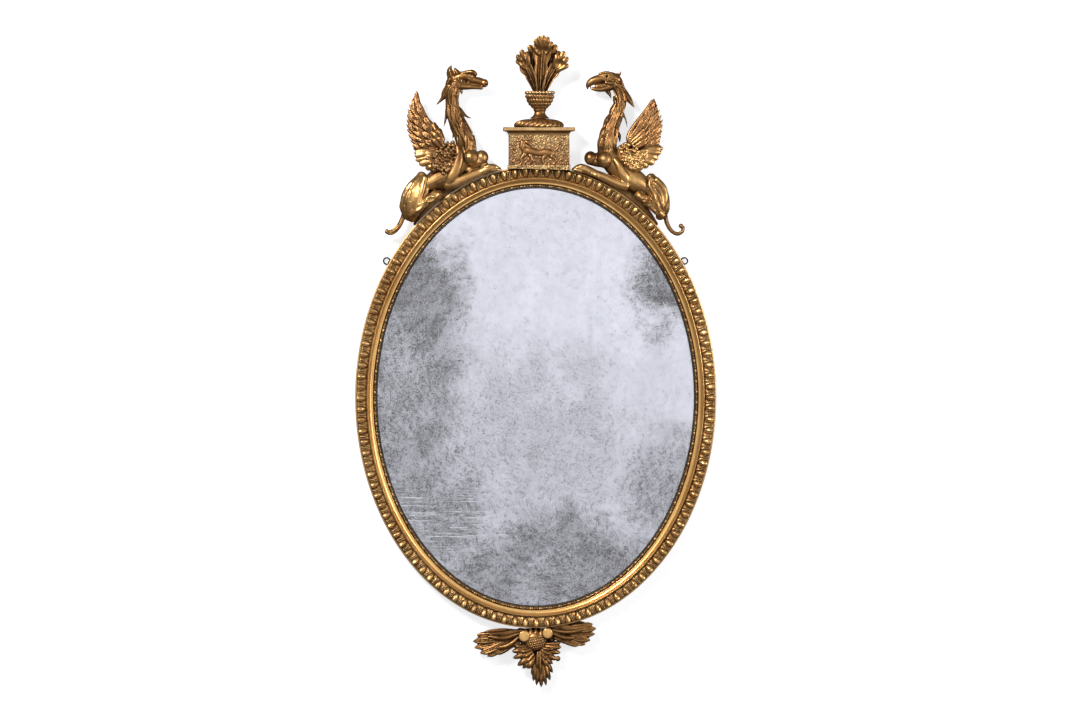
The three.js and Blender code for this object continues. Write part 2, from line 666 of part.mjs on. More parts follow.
// Five leaves rise out of the urn, curl forward and open into pointed lobes. The blade's keys and
// the roots and tips of the lobes are measured from the foot of the leaves.
const leafFoot = rimFoot - LEAF_SOCKET;
const plume = {
  centre: {
    blade: [[0, 0, 0, 9, 5], [1, 50, 3, 12, 6], [3, 98, 8, 20, 7], [6, 136, 20, 20, 5]],
    roots: [[-6, 104, 12], [5, 112, 16], [16, 104, 12]],
    tips: [[-16, 126, 16], [-6, 146, 22], [7, 149, 24], [20, 145, 22], [29, 124, 16]],
  },
  left: {
    blade: [[-7, 0, -5, 6, 4], [-14, 50, -2, 10, 5], [-22, 90, 3, 12, 5], [-26, 110, 8, 9, 3]],
    roots: [[-26, 88, 4], [-20, 92, 6]],
    tips: [[-37, 108, 6], [-28, 126, 10], [-14, 122, 8]],
  },
  right: {
    blade: [[7, 0, -5, 6, 4], [14, 50, -2, 10, 5], [28, 88, 3, 13, 5], [37, 108, 8, 9, 3]],
    roots: [[26, 88, 6], [36, 84, 4]],
    tips: [[28, 126, 8], [41, 128, 10], [52, 110, 6]],
  },
  outer_left: {
    blade: [[-13, 0, 4, 6, 4], [-20, 34, 6, 9, 5], [-34, 66, 9, 13, 5], [-48, 88, 14, 9, 3]],
    roots: [[-40, 72, 10], [-34, 80, 12]],
    tips: [[-60, 88, 14], [-58, 106, 18], [-46, 114, 18], [-34, 102, 14]],
  },
  outer_right: {
    blade: [[13, 0, 4, 6, 4], [22, 34, 6, 9, 5], [40, 62, 9, 13, 5], [56, 82, 14, 9, 3]],
    roots: [[36, 74, 12], [48, 68, 10]],
    tips: [[52, 106, 14], [66, 106, 18], [71, 92, 18], [69, 79, 14]],
  },
};
const leaf = ({ blade, roots, tips }, x, y, z, play) => {
  const placed = (keys) => keys.map(([along, up, out, ...size]) => [x + along, y + up, z + out, ...size]);
  return join(
    acanthus(placed(blade), 4, 7, play),
    ...fan(placed(roots), placed(tips), tips.length, LOBE_WIDTH, LOBE_THICK, play),
  );
};
const standing = [urn(FIT_GAP), rim(FIT_GAP)];
Object.entries(plume).forEach(([name, form]) => {
  const grown = (play) => leaf(form, urnX, leafFoot, CREST_MIDDLE, play);
  place(`plume_leaf_${name}`, cut(grown(0), ...standing), GILT);
  standing.push(grown(FIT_GAP));
});

// ---- The winged beasts -------------------------------------------------------------------

// Ground carved with the beast, which follows the edge of the oval under its paws.
function ground(from, to, play) {
  const steps = 10;
  const rings = Array.from({ length: steps + 1 }, (_, i) => {
    const angle = angleAlong(from + ((to - from) * i) / steps);
    const rise = GROUND_RISE * Math.sin(Math.PI * (0.1 + (0.8 * i) / steps));
    return [[1, CARVING_BACK], [1, GROUND_DEPTH], [-rise, 0.8 * GROUND_DEPTH], [-rise, CARVING_BACK]]
      .map(([inset, z]) => ovalPoint(angle, inset - play, z + play));
  });
  return skin(rings);
}

// A beast's keys start with how far along the edge of the oval they are from its top, and how far
// out from that edge, so that the beast lies on the oval.
function addBeast(side, form) {
  const way = side === 'left' ? -1 : 1;
  const seated = ([along, rise, ...rest]) => {
    const { x, y } = ovalPoint(angleAlong(way * along), -rise, 0);
    return [x, y, ...rest];
  };
  const member = (keys, steps, sides, play) => limb(keys.map(seated), steps, sides, play);
  const feathers = ([roots, tips], count, width, thick, play) =>
    fan(roots.map(seated), tips.map(seated), count, width, thick, play);
  const shapes = {
    body: (play) => join(
      member(form.torso, 7, 8, play), ...form.chest.map((lobe) => member(lobe, 4, 7, play)),
      ground(...form.ground.map((along) => way * along), play),
    ),
    hind_leg: (play) => join(member(form.haunch, 5, 8, play), member(form.shank, 4, 6, play)),
    foreleg: (play) => join(member(form.upperArm, 3, 6, play), member(form.forearm, 5, 6, play)),
    head_and_neck: (play) => join(
      member(form.neck, 6, 7, play), member(form.head, 5, 7, play), member(form.jaw, 2, 5, play),
      ...form.spikes.map((spike) => member(spike, 2, 4, play)),
    ),
    lower_wing: (play) => join(
      member(form.scapular, 3, 7, play), ...feathers(form.lowerFan, 4, 20, 6, play),
    ),
    upper_wing: (play) => join(
      member(form.wing, 5, 5, play), ...feathers(form.primaries, 7, 22, 5, play),
      ...feathers(form.coverts, 4, 18, 5, play),
    ),
    tail: (play) => member(form.tail, 8, 5, play),
  };
  // each piece is carved to fit those before it
  const tools = [];
  Object.entries(shapes).forEach(([name, shape]) => {
    place(`beast_${side}_${name}`, cut(onFrame(shape(0)), ...tools), GILT);
    tools.push(shape(FIT_GAP));
  });
}

addBeast('left', {
  ground: [356, 95],
  torso: [
    [290, 50, BODY_Z, 20, 18], [254, 51, BODY_Z, 25, 22], [218, 44, BODY_Z, 26, 24],
    [178, 55, BODY_Z, 31, 24], [153, 67, BODY_Z, 24, 20], [145, 80, BODY_Z, 20, 16]],
  chest: [
    [[159, 63, 40, 14, 14], [143, 53, 42, 21, 20], [133, 45, 42, 12, 12]],
    [[134, 53, 30, 14, 14], [120, 47, 30, 16.5, 18], [109, 41, 30, 8, 8]]],
  haunch: [
    [256, 77, 34, 12, 12], [278, 61, 36, 28, 24], [303, 46, 37, 34, 26],
    [328, 27, 36, 26, 20], [336, 7, 36, 12, 12]],
  shank: [
    [331, 25, 48, 11, 11], [298, 21, 52, 14, 13], [265, 20, 52, 12, 12],
    [245, 17, 50, 7, 9]],
  upperArm: [[171, 56, LEG_Z, 11, 9], [191, 44, LEG_Z, 16, 12], [218, 27, LEG_Z, 14, 12]],
  forearm: [
    [220, 27, LEG_Z, 13, 12], [178, 20, LEG_Z, 11, 11], [136, 16, LEG_Z, 9, 10],
    [109, 16, LEG_Z, 11, 13], [92, 5, LEG_Z, 4, 8]],
  neck: [
    [147, 76, BODY_Z, 23, 19], [139, 105, BODY_Z, 20, 16], [140, 151, BODY_Z, 15.5, 13],
    [138, 193, BODY_Z, 12, 11], [133, 222, BODY_Z, 14, 11], [122, 239, BODY_Z, 18, 12]],
  head: [
    [126, 252, BODY_Z, 17, 12], [108, 244, BODY_Z, 21, 15], [94, 235, BODY_Z, 17, 13],
    [83, 222, BODY_Z, 13, 9], [75, 210, BODY_Z, 5, 4]],
  jaw: [[117, 236, BODY_Z, 9, 10], [103, 224, BODY_Z, 7, 9], [90, 215, BODY_Z, 4, 5]],
  spikes: [
    [[120, 253, 32, 8, 6], [121, 271, 33, 7, 4], [120, 284, 34, 2, 1.5]],
    [[132, 232, 30, 9, 6], [146, 225, 28, 8, 4], [163, 209, 28, 1.5, 1.5]],
    [[146, 178, 30, 6, 5], [158, 166, 28, 4, 3], [169, 151, 28, 1.5, 1.5]],
    [[142, 141, 30, 7, 6], [155, 127, 28, 6, 4], [164, 115, 28, 1.5, 1.5]],
    [[133, 183, 32, 6, 5], [125, 159, 34, 4, 3], [114, 144, 36, 1.5, 1.5]]],
  scapular: [
    [170, 105, SHOULDER_Z, 12, 7], [182, 90, SHOULDER_Z, 22, 11],
    [197, 69, SHOULDER_Z, 24, 11], [214, 56, SHOULDER_Z, 12, 7]],
  lowerFan: [
    [[199, 95, 50], [205, 80, 52], [207, 61, 52]],
    [[241, 135, 50], [245, 98, 50], [236, 69, 50]]],
  wing: [
    [186, 70, WING_Z, 12, 8], [202, 104, WING_Z, 16, 7], [202, 135, WING_Z, 30, 6],
    [196, 165, WING_Z, 38, 6], [192, 204, WING_Z, 24, 5], [185, 244, WING_Z, 6, 2]],
  primaries: [
    [[205, 111, 38], [195, 143, 40], [190, 185, 40], [186, 221, 40]],
    [[232, 137, 38], [230, 180, 38], [215, 219, 38], [180, 264, 38]]],
  coverts: [
    [[194, 110, 42], [187, 137, 44], [185, 177, 43]],
    [[212, 138, 42], [208, 175, 43], [190, 222, 41]]],
  tail: [
    [328, 45, 32, 6, 7], [349, 35, 32, 6, 7], [372, 31, 32, 6.5, 7],
    [391, 36, 32, 7, 7], [402, 46, 32, 6, 6]],
});

addBeast('right', {
  ground: [356, 87],
  torso: [
    [291, 46, BODY_Z, 20, 18], [256, 45, BODY_Z, 23, 22], [225, 40, BODY_Z, 26, 24],
    [185, 54, BODY_Z, 31, 24], [159, 67, BODY_Z, 24, 20], [150, 82, BODY_Z, 21, 16]],
  chest: [
    [[164, 64, 40, 14, 14], [154, 54, 42, 21, 20], [143, 46, 42, 12, 12]],
    [[143, 55, 32, 12, 14], [132, 50, 32, 17, 18], [122, 41, 28, 16, 14], [111, 35, 26, 7, 7]]],
  haunch: [
    [256, 71, 34, 12, 12], [276, 57, 36, 26, 24], [301, 44, 37, 32, 26],
    [327, 27, 36, 24, 20], [336, 10, 36, 12, 12]],
  shank: [
    [332, 23, 48, 11, 11], [300, 21, 52, 14, 13], [270, 20, 52, 12, 12], [252, 17, 50, 7, 9]],
  upperArm: [[185, 60, LEG_Z, 11, 9], [202, 46, LEG_Z, 16, 12], [225, 26, LEG_Z, 14, 12]],
  forearm: [
    [225, 26, LEG_Z, 13, 12], [185, 19, LEG_Z, 12, 11], [144, 15, LEG_Z, 10, 10],
    [113, 15, LEG_Z, 11, 13], [93, 4, LEG_Z, 4, 8]],
  neck: [
    [152, 79, BODY_Z, 25, 19], [144, 110, BODY_Z, 21, 16], [142, 154, BODY_Z, 17, 13],
    [140, 194, BODY_Z, 12, 11], [130, 220, BODY_Z, 13, 11], [118, 235, BODY_Z, 16, 12]],
  head: [
    [121, 248, BODY_Z, 16, 12], [106, 242, BODY_Z, 19, 15], [94, 236, BODY_Z, 14, 12],
    [85, 226, BODY_Z, 10, 8], [80, 207, BODY_Z, 3, 3]],
  jaw: [[116, 231, BODY_Z, 11, 10], [107, 219, BODY_Z, 7, 8], [98, 212, BODY_Z, 3, 4]],
  spikes: [
    [[118, 251, 32, 7, 6], [122, 264, 33, 4, 4], [123, 274, 34, 1.5, 1.5]],
    [[131, 226, 30, 9, 6], [145, 217, 28, 8, 4], [163, 202, 28, 1.5, 1.5]],
    [[143, 180, 30, 5, 5], [156, 165, 28, 3, 3], [167, 150, 28, 1.5, 1.5]],
    [[147, 140, 30, 8, 6], [158, 124, 28, 6, 4], [166, 109, 28, 1.5, 1.5]],
    [[135, 191, 32, 6, 5], [131, 171, 34, 4, 3], [128, 159, 35, 1.5, 1.5]]],
  scapular: [
    [168, 104, SHOULDER_Z, 12, 7], [185, 90, SHOULDER_Z, 22, 11],
    [206, 74, SHOULDER_Z, 22, 11], [226, 68, SHOULDER_Z, 12, 7]],
  lowerFan: [
    [[203, 98, 50], [214, 85, 52], [219, 72, 52]],
    [[241, 149, 50], [249, 105, 50], [236, 72, 50]]],
  wing: [
    [195, 72, WING_Z, 12, 8], [205, 107, WING_Z, 16, 7], [204, 136, WING_Z, 28, 6],
    [200, 168, WING_Z, 36, 6], [194, 202, WING_Z, 22, 5], [185, 236, WING_Z, 6, 2]],
  primaries: [
    [[204, 113, 38], [198, 145, 40], [193, 185, 40], [190, 210, 40]],
    [[233, 152, 38], [223, 185, 38], [210, 214, 38], [184, 247, 38]]],
  coverts: [
    [[187, 126, 42], [185, 156, 44], [185, 193, 43]],
    [[213, 146, 42], [208, 180, 43], [189, 223, 41]]],
  tail: [
    [329, 44, 32, 6, 7], [347, 26, 32, 5.5, 6], [374, 17, 32, 5, 6],
    [395, 25, 32, 4.5, 5], [399, 42, 32, 4, 5], [388, 50, 32, 5.5, 5], [381, 45, 32, 5, 5]],
});

// ---- The apron ---------------------------------------------------------------------------

// Its pieces are placed by how far they hang below the bottom of the oval.
const ovalBottom = -OVAL_HALF_HEIGHT;
const hanging = (keys) => keys.map(([x, drop, ...rest]) => [x, ovalBottom - drop, ...rest]);

const calyx = (play) => join(
  box(
    CALYX_X - CALYX_HALF_WIDTH - play, CALYX_X + CALYX_HALF_WIDTH + play,
    ovalBottom - APRON_DROP - play, ovalBottom + 2 * APRON_DROP / 3, 0, CALYX_DEPTH + play,
  ),
  limb(hanging([[-24, 26, 28, 10, 10], [-2, 34, 30, 20, 14], [20, 26, 28, 10, 10]]), 6, 8, play),
  limb(hanging([[-2, -3, 22, 10, 9], [-2, 14, 26, 9, 9], [-2, 28, 28, 8, 8]]), 3, 6, play),
);
place('apron_calyx', onFrame(calyx(0)), GILT);

const hung = [calyx(FIT_GAP)];
[['left', -30, 19], ['right', 28.5, 11.5]].forEach(([side, x, drop]) => {
  const disc = (play) => new THREE.CylinderGeometry(
    ROUNDEL_RADIUS + play, ROUNDEL_RADIUS + play + 1, ROUNDEL_LENGTH + 2 * play, 14,
  ).rotateX(Math.PI / 2).translate(x, ovalBottom - drop, CALYX_DEPTH + ROUNDEL_LENGTH);
  place(`apron_roundel_${side}`, cut(onFrame(disc(0)), ...hung), GILT);
  hung.push(disc(1.2 * FIT_GAP));
});

const apronLeaves = {
  apron_leaf_left: {
    blade: [
      [-30, 12, 20, 14, 7], [-62, 16, 22, 22, 7], [-98, 20, 24, 27, 7], [-130, 30, 24, 18, 5]],
    roots: [[-100, -2, 22], [-118, 24, 26], [-96, 44, 22]],
    tips: [[-121, 0, 22], [-148, 14, 26], [-160, 36, 26], [-142, 60, 26], [-118, 71, 24], [-92, 58, 20]],
  },
  apron_leaf_right: {
    blade: [
      [26, 6, 20, 14, 7], [58, 10, 22, 22, 7], [92, 11, 24, 29, 8], [124, 8, 24, 24, 6]],
    roots: [[88, -8, 22], [108, 8, 26], [86, 28, 22]],
    tips: [[106, -14, 22], [138, -10, 26], [150, 6, 26], [133, 32, 26], [117, 45, 24], [92, 41, 20]],
  },
  apron_palmette_left: {
    blade: [[-12, 38, 20, 12, 6], [-24, 50, 22, 18, 7], [-36, 66, 22, 18, 6], [-42, 80, 20, 12, 4]],
    roots: [[-26, 48, 22], [-32, 66, 24], [-26, 76, 22]],
    tips: [[-54, 36, 20], [-60, 67, 22], [-44, 98, 22], [-24, 103, 20]],
  },
  apron_palmette_right: {
    blade: [[10, 38, 20, 12, 6], [22, 44, 22, 18, 7], [36, 52, 22, 18, 6], [48, 58, 20, 12, 4]],
    roots: [[26, 42, 22], [36, 54, 24], [30, 62, 22]],
    tips: [[59, 33, 20], [64, 50, 22], [56, 76, 22], [34, 86, 20]],
  },
  apron_pendant_leaf: {
    blade: [[0, 46, 18, 12, 6], [3, 76, 20, 20, 7], [10, 104, 22, 22, 7], [14, 122, 20, 16, 4]],
    roots: [[0, 90, 20], [10, 96, 24], [22, 90, 20]],
    tips: [[-9, 133, 20], [9, 147, 24], [23, 147, 24], [43, 118, 20]],
  },
};
Object.entries(apronLeaves).forEach(([name, { blade, roots, tips }]) => {
  const form = { blade: hanging(blade), roots: hanging(roots), tips: hanging(tips) };
  const grown = (play) => leaf(form, 0, 0, 0, play);
  place(name, cut(onFrame(grown(0)), ...hung), GILT);
  hung.push(grown(FIT_GAP));
});

place('carcass', carcass, GILT);

// stand the front view up, with z out of the floor and the front towards -y
part.rotation.x = Math.PI / 2;

export default part;
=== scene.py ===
"""Oval giltwood mirror: the carved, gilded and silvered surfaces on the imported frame.

Lengths are millimetres in the drawing's own axes (x right, y up, z out of the wall to the viewer)
until row() turns them into metres in the row frame. The carvings' keys give x and y as places in
the photograph, which at() turns into millimetres. Materials, lights and camera are in metres.
"""

import math
import random

import bmesh
import bpy
import numpy as np
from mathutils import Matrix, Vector

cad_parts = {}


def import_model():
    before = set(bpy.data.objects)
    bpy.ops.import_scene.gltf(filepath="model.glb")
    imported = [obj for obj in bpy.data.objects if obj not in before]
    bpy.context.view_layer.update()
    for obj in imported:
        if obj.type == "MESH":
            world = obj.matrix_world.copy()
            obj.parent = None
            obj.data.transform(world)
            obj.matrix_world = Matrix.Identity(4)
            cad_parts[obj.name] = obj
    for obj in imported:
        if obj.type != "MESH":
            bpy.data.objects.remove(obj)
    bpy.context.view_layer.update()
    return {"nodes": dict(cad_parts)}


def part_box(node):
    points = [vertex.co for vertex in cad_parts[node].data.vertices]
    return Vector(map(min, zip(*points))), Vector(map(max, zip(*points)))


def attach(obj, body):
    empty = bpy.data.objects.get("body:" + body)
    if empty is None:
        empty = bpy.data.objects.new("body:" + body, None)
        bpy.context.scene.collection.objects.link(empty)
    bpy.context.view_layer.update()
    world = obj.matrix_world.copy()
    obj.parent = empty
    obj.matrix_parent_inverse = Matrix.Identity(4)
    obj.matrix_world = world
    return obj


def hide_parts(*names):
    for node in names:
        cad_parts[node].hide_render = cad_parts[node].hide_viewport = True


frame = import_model()

# ---- Dimensions, as in the frame ---------------------------------------------------------

OVAL_A, OVAL_B = 451.0, 577.5  # half the frame's width and height
PLAY = 0.3  # between two pieces that touch
EDGE_FILLET, EGG_BAND, QUIRK, COVE_BAND, BEAD_BAND = 2.8, 24.6, 2.9, 13.6, 6.4  # from the edge inwards
BEAD_FILLET = 1.5
SEAT, COVE_CREST, COVE_FOOT, BEAD_SEAT, GLASS_FRONT = 28.0, 37.0, 25.0, 20.5, 18.0  # out of the wall
REBATE, BOARD_REBATE, BOARD_LEDGE = 36, 28, 8.3  # insets of the two rebates, height of the outer one
EGG_COUNT = 116  # and as many beads
BACK = 4.6  # where the carvings' flat backs lie, before the stays
CREST_X, URN_X = 7.0, 9.0
CREST_MIDDLE = 34.0  # half way through the depth of the dome and the urn
PLAN_DEPTH = 0.68  # depth of a turned piece for its width
HANGER_ANGLE = 35.8  # degrees above the horizontal, on the oval's own angle
RING_RADIUS = 8  # to the middle of the wire

MM_PER_PIXEL = 2.5
CENTRE_PIXEL = (535.7, 397.3)  # the oval's middle in the photograph


def at(px, py):
    """A place in the photograph as millimetres."""
    return (px - CENTRE_PIXEL[0]) * MM_PER_PIXEL, (CENTRE_PIXEL[1] - py) * MM_PER_PIXEL


def keyed(keys):
    """Keys that start with a place in the photograph, with that place in millimetres."""
    return np.array([[*at(k[0], k[1]), *k[2:]] for k in keys], float)


def row(points):
    """Drawing millimetres to metres in the row frame."""
    p = np.asarray(points, float).reshape(-1, 3)
    return np.column_stack([p[:, 0], -p[:, 2], p[:, 1]]) * 0.001


# ---- Meshes ------------------------------------------------------------------------------


def make(name, points, faces, material, smooth=True):
    """A mesh object from points in drawing millimetres, with its faces turned outwards."""
    mesh = bpy.data.meshes.new(name)
    mesh.from_pydata(row(points).tolist(), [], [list(map(int, f)) for f in faces])
    mesh.validate()
    mesh.update()
    obj = bpy.data.objects.new(name, mesh)
    bpy.context.scene.collection.objects.link(obj)
    mesh.materials.append(material)
    mesh.polygons.foreach_set("use_smooth", [smooth] * len(mesh.polygons))
    work = bmesh.new()
    work.from_mesh(mesh)
    bmesh.ops.recalc_face_normals(work, faces=work.faces)
    work.to_mesh(mesh)
    work.free()
    return obj


def finish(obj, slot, *nodes, body="mirror"):
    """Sets the piece on its body and hides the CAD nodes that it stands for; slot is not used."""
    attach(obj, body)
    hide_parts(*nodes)


def apply_modifiers(obj):
    view = bpy.context.evaluated_depsgraph_get()
    mesh = bpy.data.meshes.new_from_object(obj.evaluated_get(view))
    old = obj.data
    obj.modifiers.clear()
    obj.data = mesh
    bpy.data.meshes.remove(old)
    return obj


def grid_faces(rows, columns, loop_rows=False, loop_columns=False):
    """Quads over a grid of points stored row by row."""
    i = np.arange(rows if loop_rows else rows - 1)
    j = np.arange(columns if loop_columns else columns - 1)
    i, j = [k.ravel() for k in np.meshgrid(i, j, indexing="ij")]
    i2, j2 = (i + 1) % rows, (j + 1) % columns
    return np.column_stack(
        [i * columns + j, i * columns + j2, i2 * columns + j2, i2 * columns + j]
    )


def turns(count):
    """Angles evenly round a circle."""
    return np.linspace(0, math.tau, count + 1)[:-1]


def spline(keys, steps):
    """A smooth curve through the keys, whatever each key holds."""
    keys = np.asarray(keys, float)
    last = len(keys) - 1
    t = np.linspace(0, last, steps + 1)
    i = np.minimum(t.astype(int), last - 1)
    f = (t - i)[:, None]
    p0, p1 = keys[np.maximum(i - 1, 0)], keys[i]
    p2, p3 = keys[i + 1], keys[np.minimum(i + 2, last)]
    return 0.5 * (
        2 * p1
        + (p2 - p0) * f
        + (2 * p0 - 5 * p1 + 4 * p2 - p3) * f**2
        + (3 * p1 - p0 - 3 * p2 + p3) * f**3
    )


def unit(v):
    return v / np.maximum(np.linalg.norm(v, axis=-1, keepdims=True), 1e-9)


def axes(centres, forward):
    """Unit vectors across a curve and up from it, where forward is roughly up."""
    along = unit(np.gradient(centres, axis=0))
    across = unit(np.cross(along, forward))
    return across, unit(np.cross(across, along))


FORWARD = [0.0, 0.0, 1.0]

# a section is (across, out) pairs in half widths and half depths
ROUND = [(math.cos(a), math.sin(a)) for a in turns(20)]
RIDGED = [(1, 0), (0.62, 0.42), (0.25, 0.8), (0, 1.15), (-0.25, 0.8), (-0.62, 0.42), (-1, 0), (0, -0.6)]
FLESHY = [(1, 0), (0.8, 0.6), (0.42, 0.95), (0, 1.08), (-0.42, 0.95), (-0.8, 0.6), (-1, 0), (0, -0.8)]
QUILLED = [
    (1, 0), (0.8, 0.7), (0.45, 0.95), (0.16, 0.62), (0, 1.1), (-0.16, 0.62), (-0.45, 0.95),
    (-0.8, 0.7), (-1, 0), (0, -0.8),
]

# how wide a feather still is near its end
POINTED, BROAD, BLUNT, LOBED = (0.72, 0.3, 0.06), (0.94, 0.62, 0.22), (0.86, 0.5, 0.16), (0.96, 0.74, 0.34)


class Carving:
    """Closed shapes in one mesh, to be fused and smoothed."""

    def __init__(self):
        self.points, self.faces, self.count = [], [], 0

    def add(self, points, faces):
        points = np.asarray(points, float).reshape(-1, 3)
        self.points.append(points)
        self.faces.extend([tuple(int(k) + self.count for k in f) for f in faces])
        self.count += len(points)

    def rings(self, rings):
        """Closed rings joined one to the next, with a face over each end."""
        rings = np.asarray(rings)
        count, sides = rings.shape[:2]
        faces = [tuple(f) for f in grid_faces(count, sides, loop_columns=True)]
        faces.append(tuple(range(sides)))
        faces.append(tuple(range((count - 1) * sides, count * sides)))
        self.add(rings, faces)

    def sweep(self, centres, normals, wide, deep, section):
        across, up = axes(centres, normals)
        rings = [
            centres + across * (s * wide)[:, None] + up * (h * deep)[:, None] for s, h in section
        ]
        self.rings(np.stack(rings, axis=1))

    def limb(self, keys, steps=14, section=ROUND, blunt=True):
        """A member along keys of (px, py, z, half width, half depth)."""
        line = spline(keyed(keys), steps)
        if blunt:
            line = np.concatenate([self.cap(line, 0), line, self.cap(line, -1)])
        normals = np.tile(FORWARD, (len(line), 1))
        wide, deep = np.maximum(line[:, 3:5], 0.3).T
        self.sweep(line[:, :3], normals, wide, deep, section)

    def cap(self, line, end):
        """Rings that round off one end of a member."""
        inner = line[1] if end == 0 else line[-2]
        way = unit(line[end][:3] - inner[:3])
        reach = 0.8 * min(line[end][3], line[end][4])
        caps = []
        for turn in (30, 55, 78):
            a = math.radians(turn)
            ring = line[end].copy()
            ring[:3] += way * reach * math.sin(a)
            ring[3:5] *= math.cos(a)
            caps.append(ring)
        return np.array(caps[::-1] if end == 0 else caps)

    def ball(self, px, py, z, radii, sides=16):
        x, y = at(px, py)
        rx, ry, rz = radii
        rings = []
        for v in np.linspace(0.12, math.pi - 0.12, sides // 2 + 1):
            around = math.sin(v)
            rings.append([
                [x + rx * around * math.cos(u), y + ry * math.cos(v), z + rz * around * math.sin(u)]
                for u in turns(sides)
            ])
        self.rings(rings)

    def spike(self, *keys):
        """A free lock of hair, ridged and pointed."""
        self.limb(keys, 10, RIDGED, blunt=False)

    def lock(self, points, normals, width, thick):
        """A pointed lock of hair or flame that lies along the points."""
        line = spline(np.hstack([points, normals]), 9)
        share = np.linspace(0, 1, 10)
        swell = np.interp(share, [0, 0.3, 0.65, 1], [0.55, 1, 0.72, 0.08])
        self.sweep(line[:, :3], unit(line[:, 3:6]), width / 2 * swell, thick * swell, RIDGED)

    def locks(self, keys, count, length, width, thick, drift, spread, seed, lift, start=0.0, end=1.0):
        """Locks laid along a member, from its start towards its end.

        spread is how far round the member they reach and drift how far they turn on the way, in
        radians; lift is how far a tip stands off.
        """
        rng = random.Random(seed)
        steps = 60
        line = spline(keyed(keys), steps)
        across, up = axes(line[:, :3], FORWARD)
        total = np.linalg.norm(np.diff(line[:, :3], axis=0), axis=1).sum()
        for k in range(count):
            t0 = start + (end - start) * (k + rng.random()) / count
            side = spread * (2 * ((k * 0.618) % 1) - 1)
            bend = drift + rng.uniform(-0.35, 0.35)
            points, normals = [], []
            for share in (0, 1 / 3, 2 / 3, 1):
                t = min(t0 + share * length / total * rng.uniform(0.85, 1.15), 1.0) * steps
                i = min(int(t), steps - 1)
                here = line[i] * (1 - (t - i)) + line[i + 1] * (t - i)
                angle = side + bend * math.sin(share * 2.4)
                sideways, outwards = across[i] * math.sin(angle), up[i] * math.cos(angle)
                normal = sideways + outwards
                points.append(here[:3] + sideways * here[3] + outwards * here[4] + normal * lift * share**2)
                normals.append(normal)
            self.lock(np.array(points), np.array(normals), width, thick)

    def feather(self, root, tip, z0, z1, width, thick, bow=0.0, point=0.62, end=POINTED, section=QUILLED):
        """A feather lying flat, from root to tip in pixels, bowed to one side and domed forward."""
        a, b = np.array(at(*root)), np.array(at(*tip))
        side = np.array([-(b - a)[1], (b - a)[0]]) * bow
        share = np.linspace(0, 1, 11)
        flat = a + (b - a) * share[:, None] + side * np.sin(np.pi * share)[:, None]
        z = z0 + (z1 - z0) * share + 2.0 * np.sin(np.pi * share)
        swell = np.interp(share, [0, 0.15, point, 0.88, 0.97, 1], [0.55, 0.85, 1, *end])
        normals = np.tile(FORWARD, (len(share), 1))
        depth = thick * np.interp(share, [0, 0.7, 1], [0.9, 1, 0.45])
        self.sweep(np.column_stack([flat, z]), normals, width / 2 * swell, depth, section)

    def fan(self, roots, tips, count, z0, z1, width, thick, bow=0.0, step=0.6, **looks):
        """Feathers side by side, from a curve of roots to a curve of tips, every other one higher."""
        a, b = spline(roots, count - 1), spline(tips, count - 1)
        for i in range(count):
            wide = width * (1 + 0.08 * math.sin(2.7 * i))
            self.feather(a[i], b[i], z0, z1 + step * (i % 2), wide, thick, bow, **looks)

    def mesh(self, name, material, smooth=True):
        return make(name, np.concatenate(self.points), self.faces, material, smooth)

    def bake(self, name, material, voxel, passes=1, factor=0.5):
        """The shapes fused into one skin and softened, as gesso softens carving."""
        obj = self.mesh(name, material)
        remesh = obj.modifiers.new("fuse", "REMESH")
        remesh.mode = "VOXEL"
        remesh.voxel_size = voxel * 0.001
        remesh.use_smooth_shade = True
        soften = obj.modifiers.new("soften", "SMOOTH")
        soften.factor, soften.iterations = factor, passes
        return apply_modifiers(obj)


def shape(obj, change):
    """Moves every point of a mesh by a function of its place in drawing millimetres."""
    mesh = obj.data
    co = np.empty(3 * len(mesh.vertices))
    mesh.vertices.foreach_get("co", co)
    co = co.reshape(-1, 3) * 1000
    drawn = np.column_stack([co[:, 0], co[:, 2], -co[:, 1]])
    mesh.vertices.foreach_set("co", row(change(drawn)).ravel())
    mesh.update()
    return obj


def press(obj, height):
    """Gives every point of a mesh a new height out of the wall, by a function of its place."""
    return shape(obj, lambda p: np.column_stack([p[:, 0], p[:, 1], height(p)]))


def seat_on_oval(obj):
    """The carving is hollowed to the curve of the frame and flat behind."""
    gap = 0.4

    def change(p):
        x, y = p[:, 0], p[:, 1]
        size = np.sqrt((x / (OVAL_A + gap)) ** 2 + (y / (OVAL_B + gap)) ** 2)
        push = np.where(size < 1, 1 / np.maximum(size, 0.5), 1.0)
        return np.column_stack([x * push, y * push, np.maximum(p[:, 2], BACK)])

    return shape(obj, change)


def dent(obj, px, py, radius, depth):
    """Presses a hollow into the front of a carving."""
    x, y = at(px, py)
    front_from = 30

    def height(p):
        away = np.hypot(p[:, 0] - x, p[:, 1] - y)
        fall = np.clip(1 - (away / radius) ** 2, 0, 1) ** 2
        return p[:, 2] - depth * fall * (p[:, 2] > front_from)

    return press(obj, height)


# ---- Materials ---------------------------------------------------------------------------


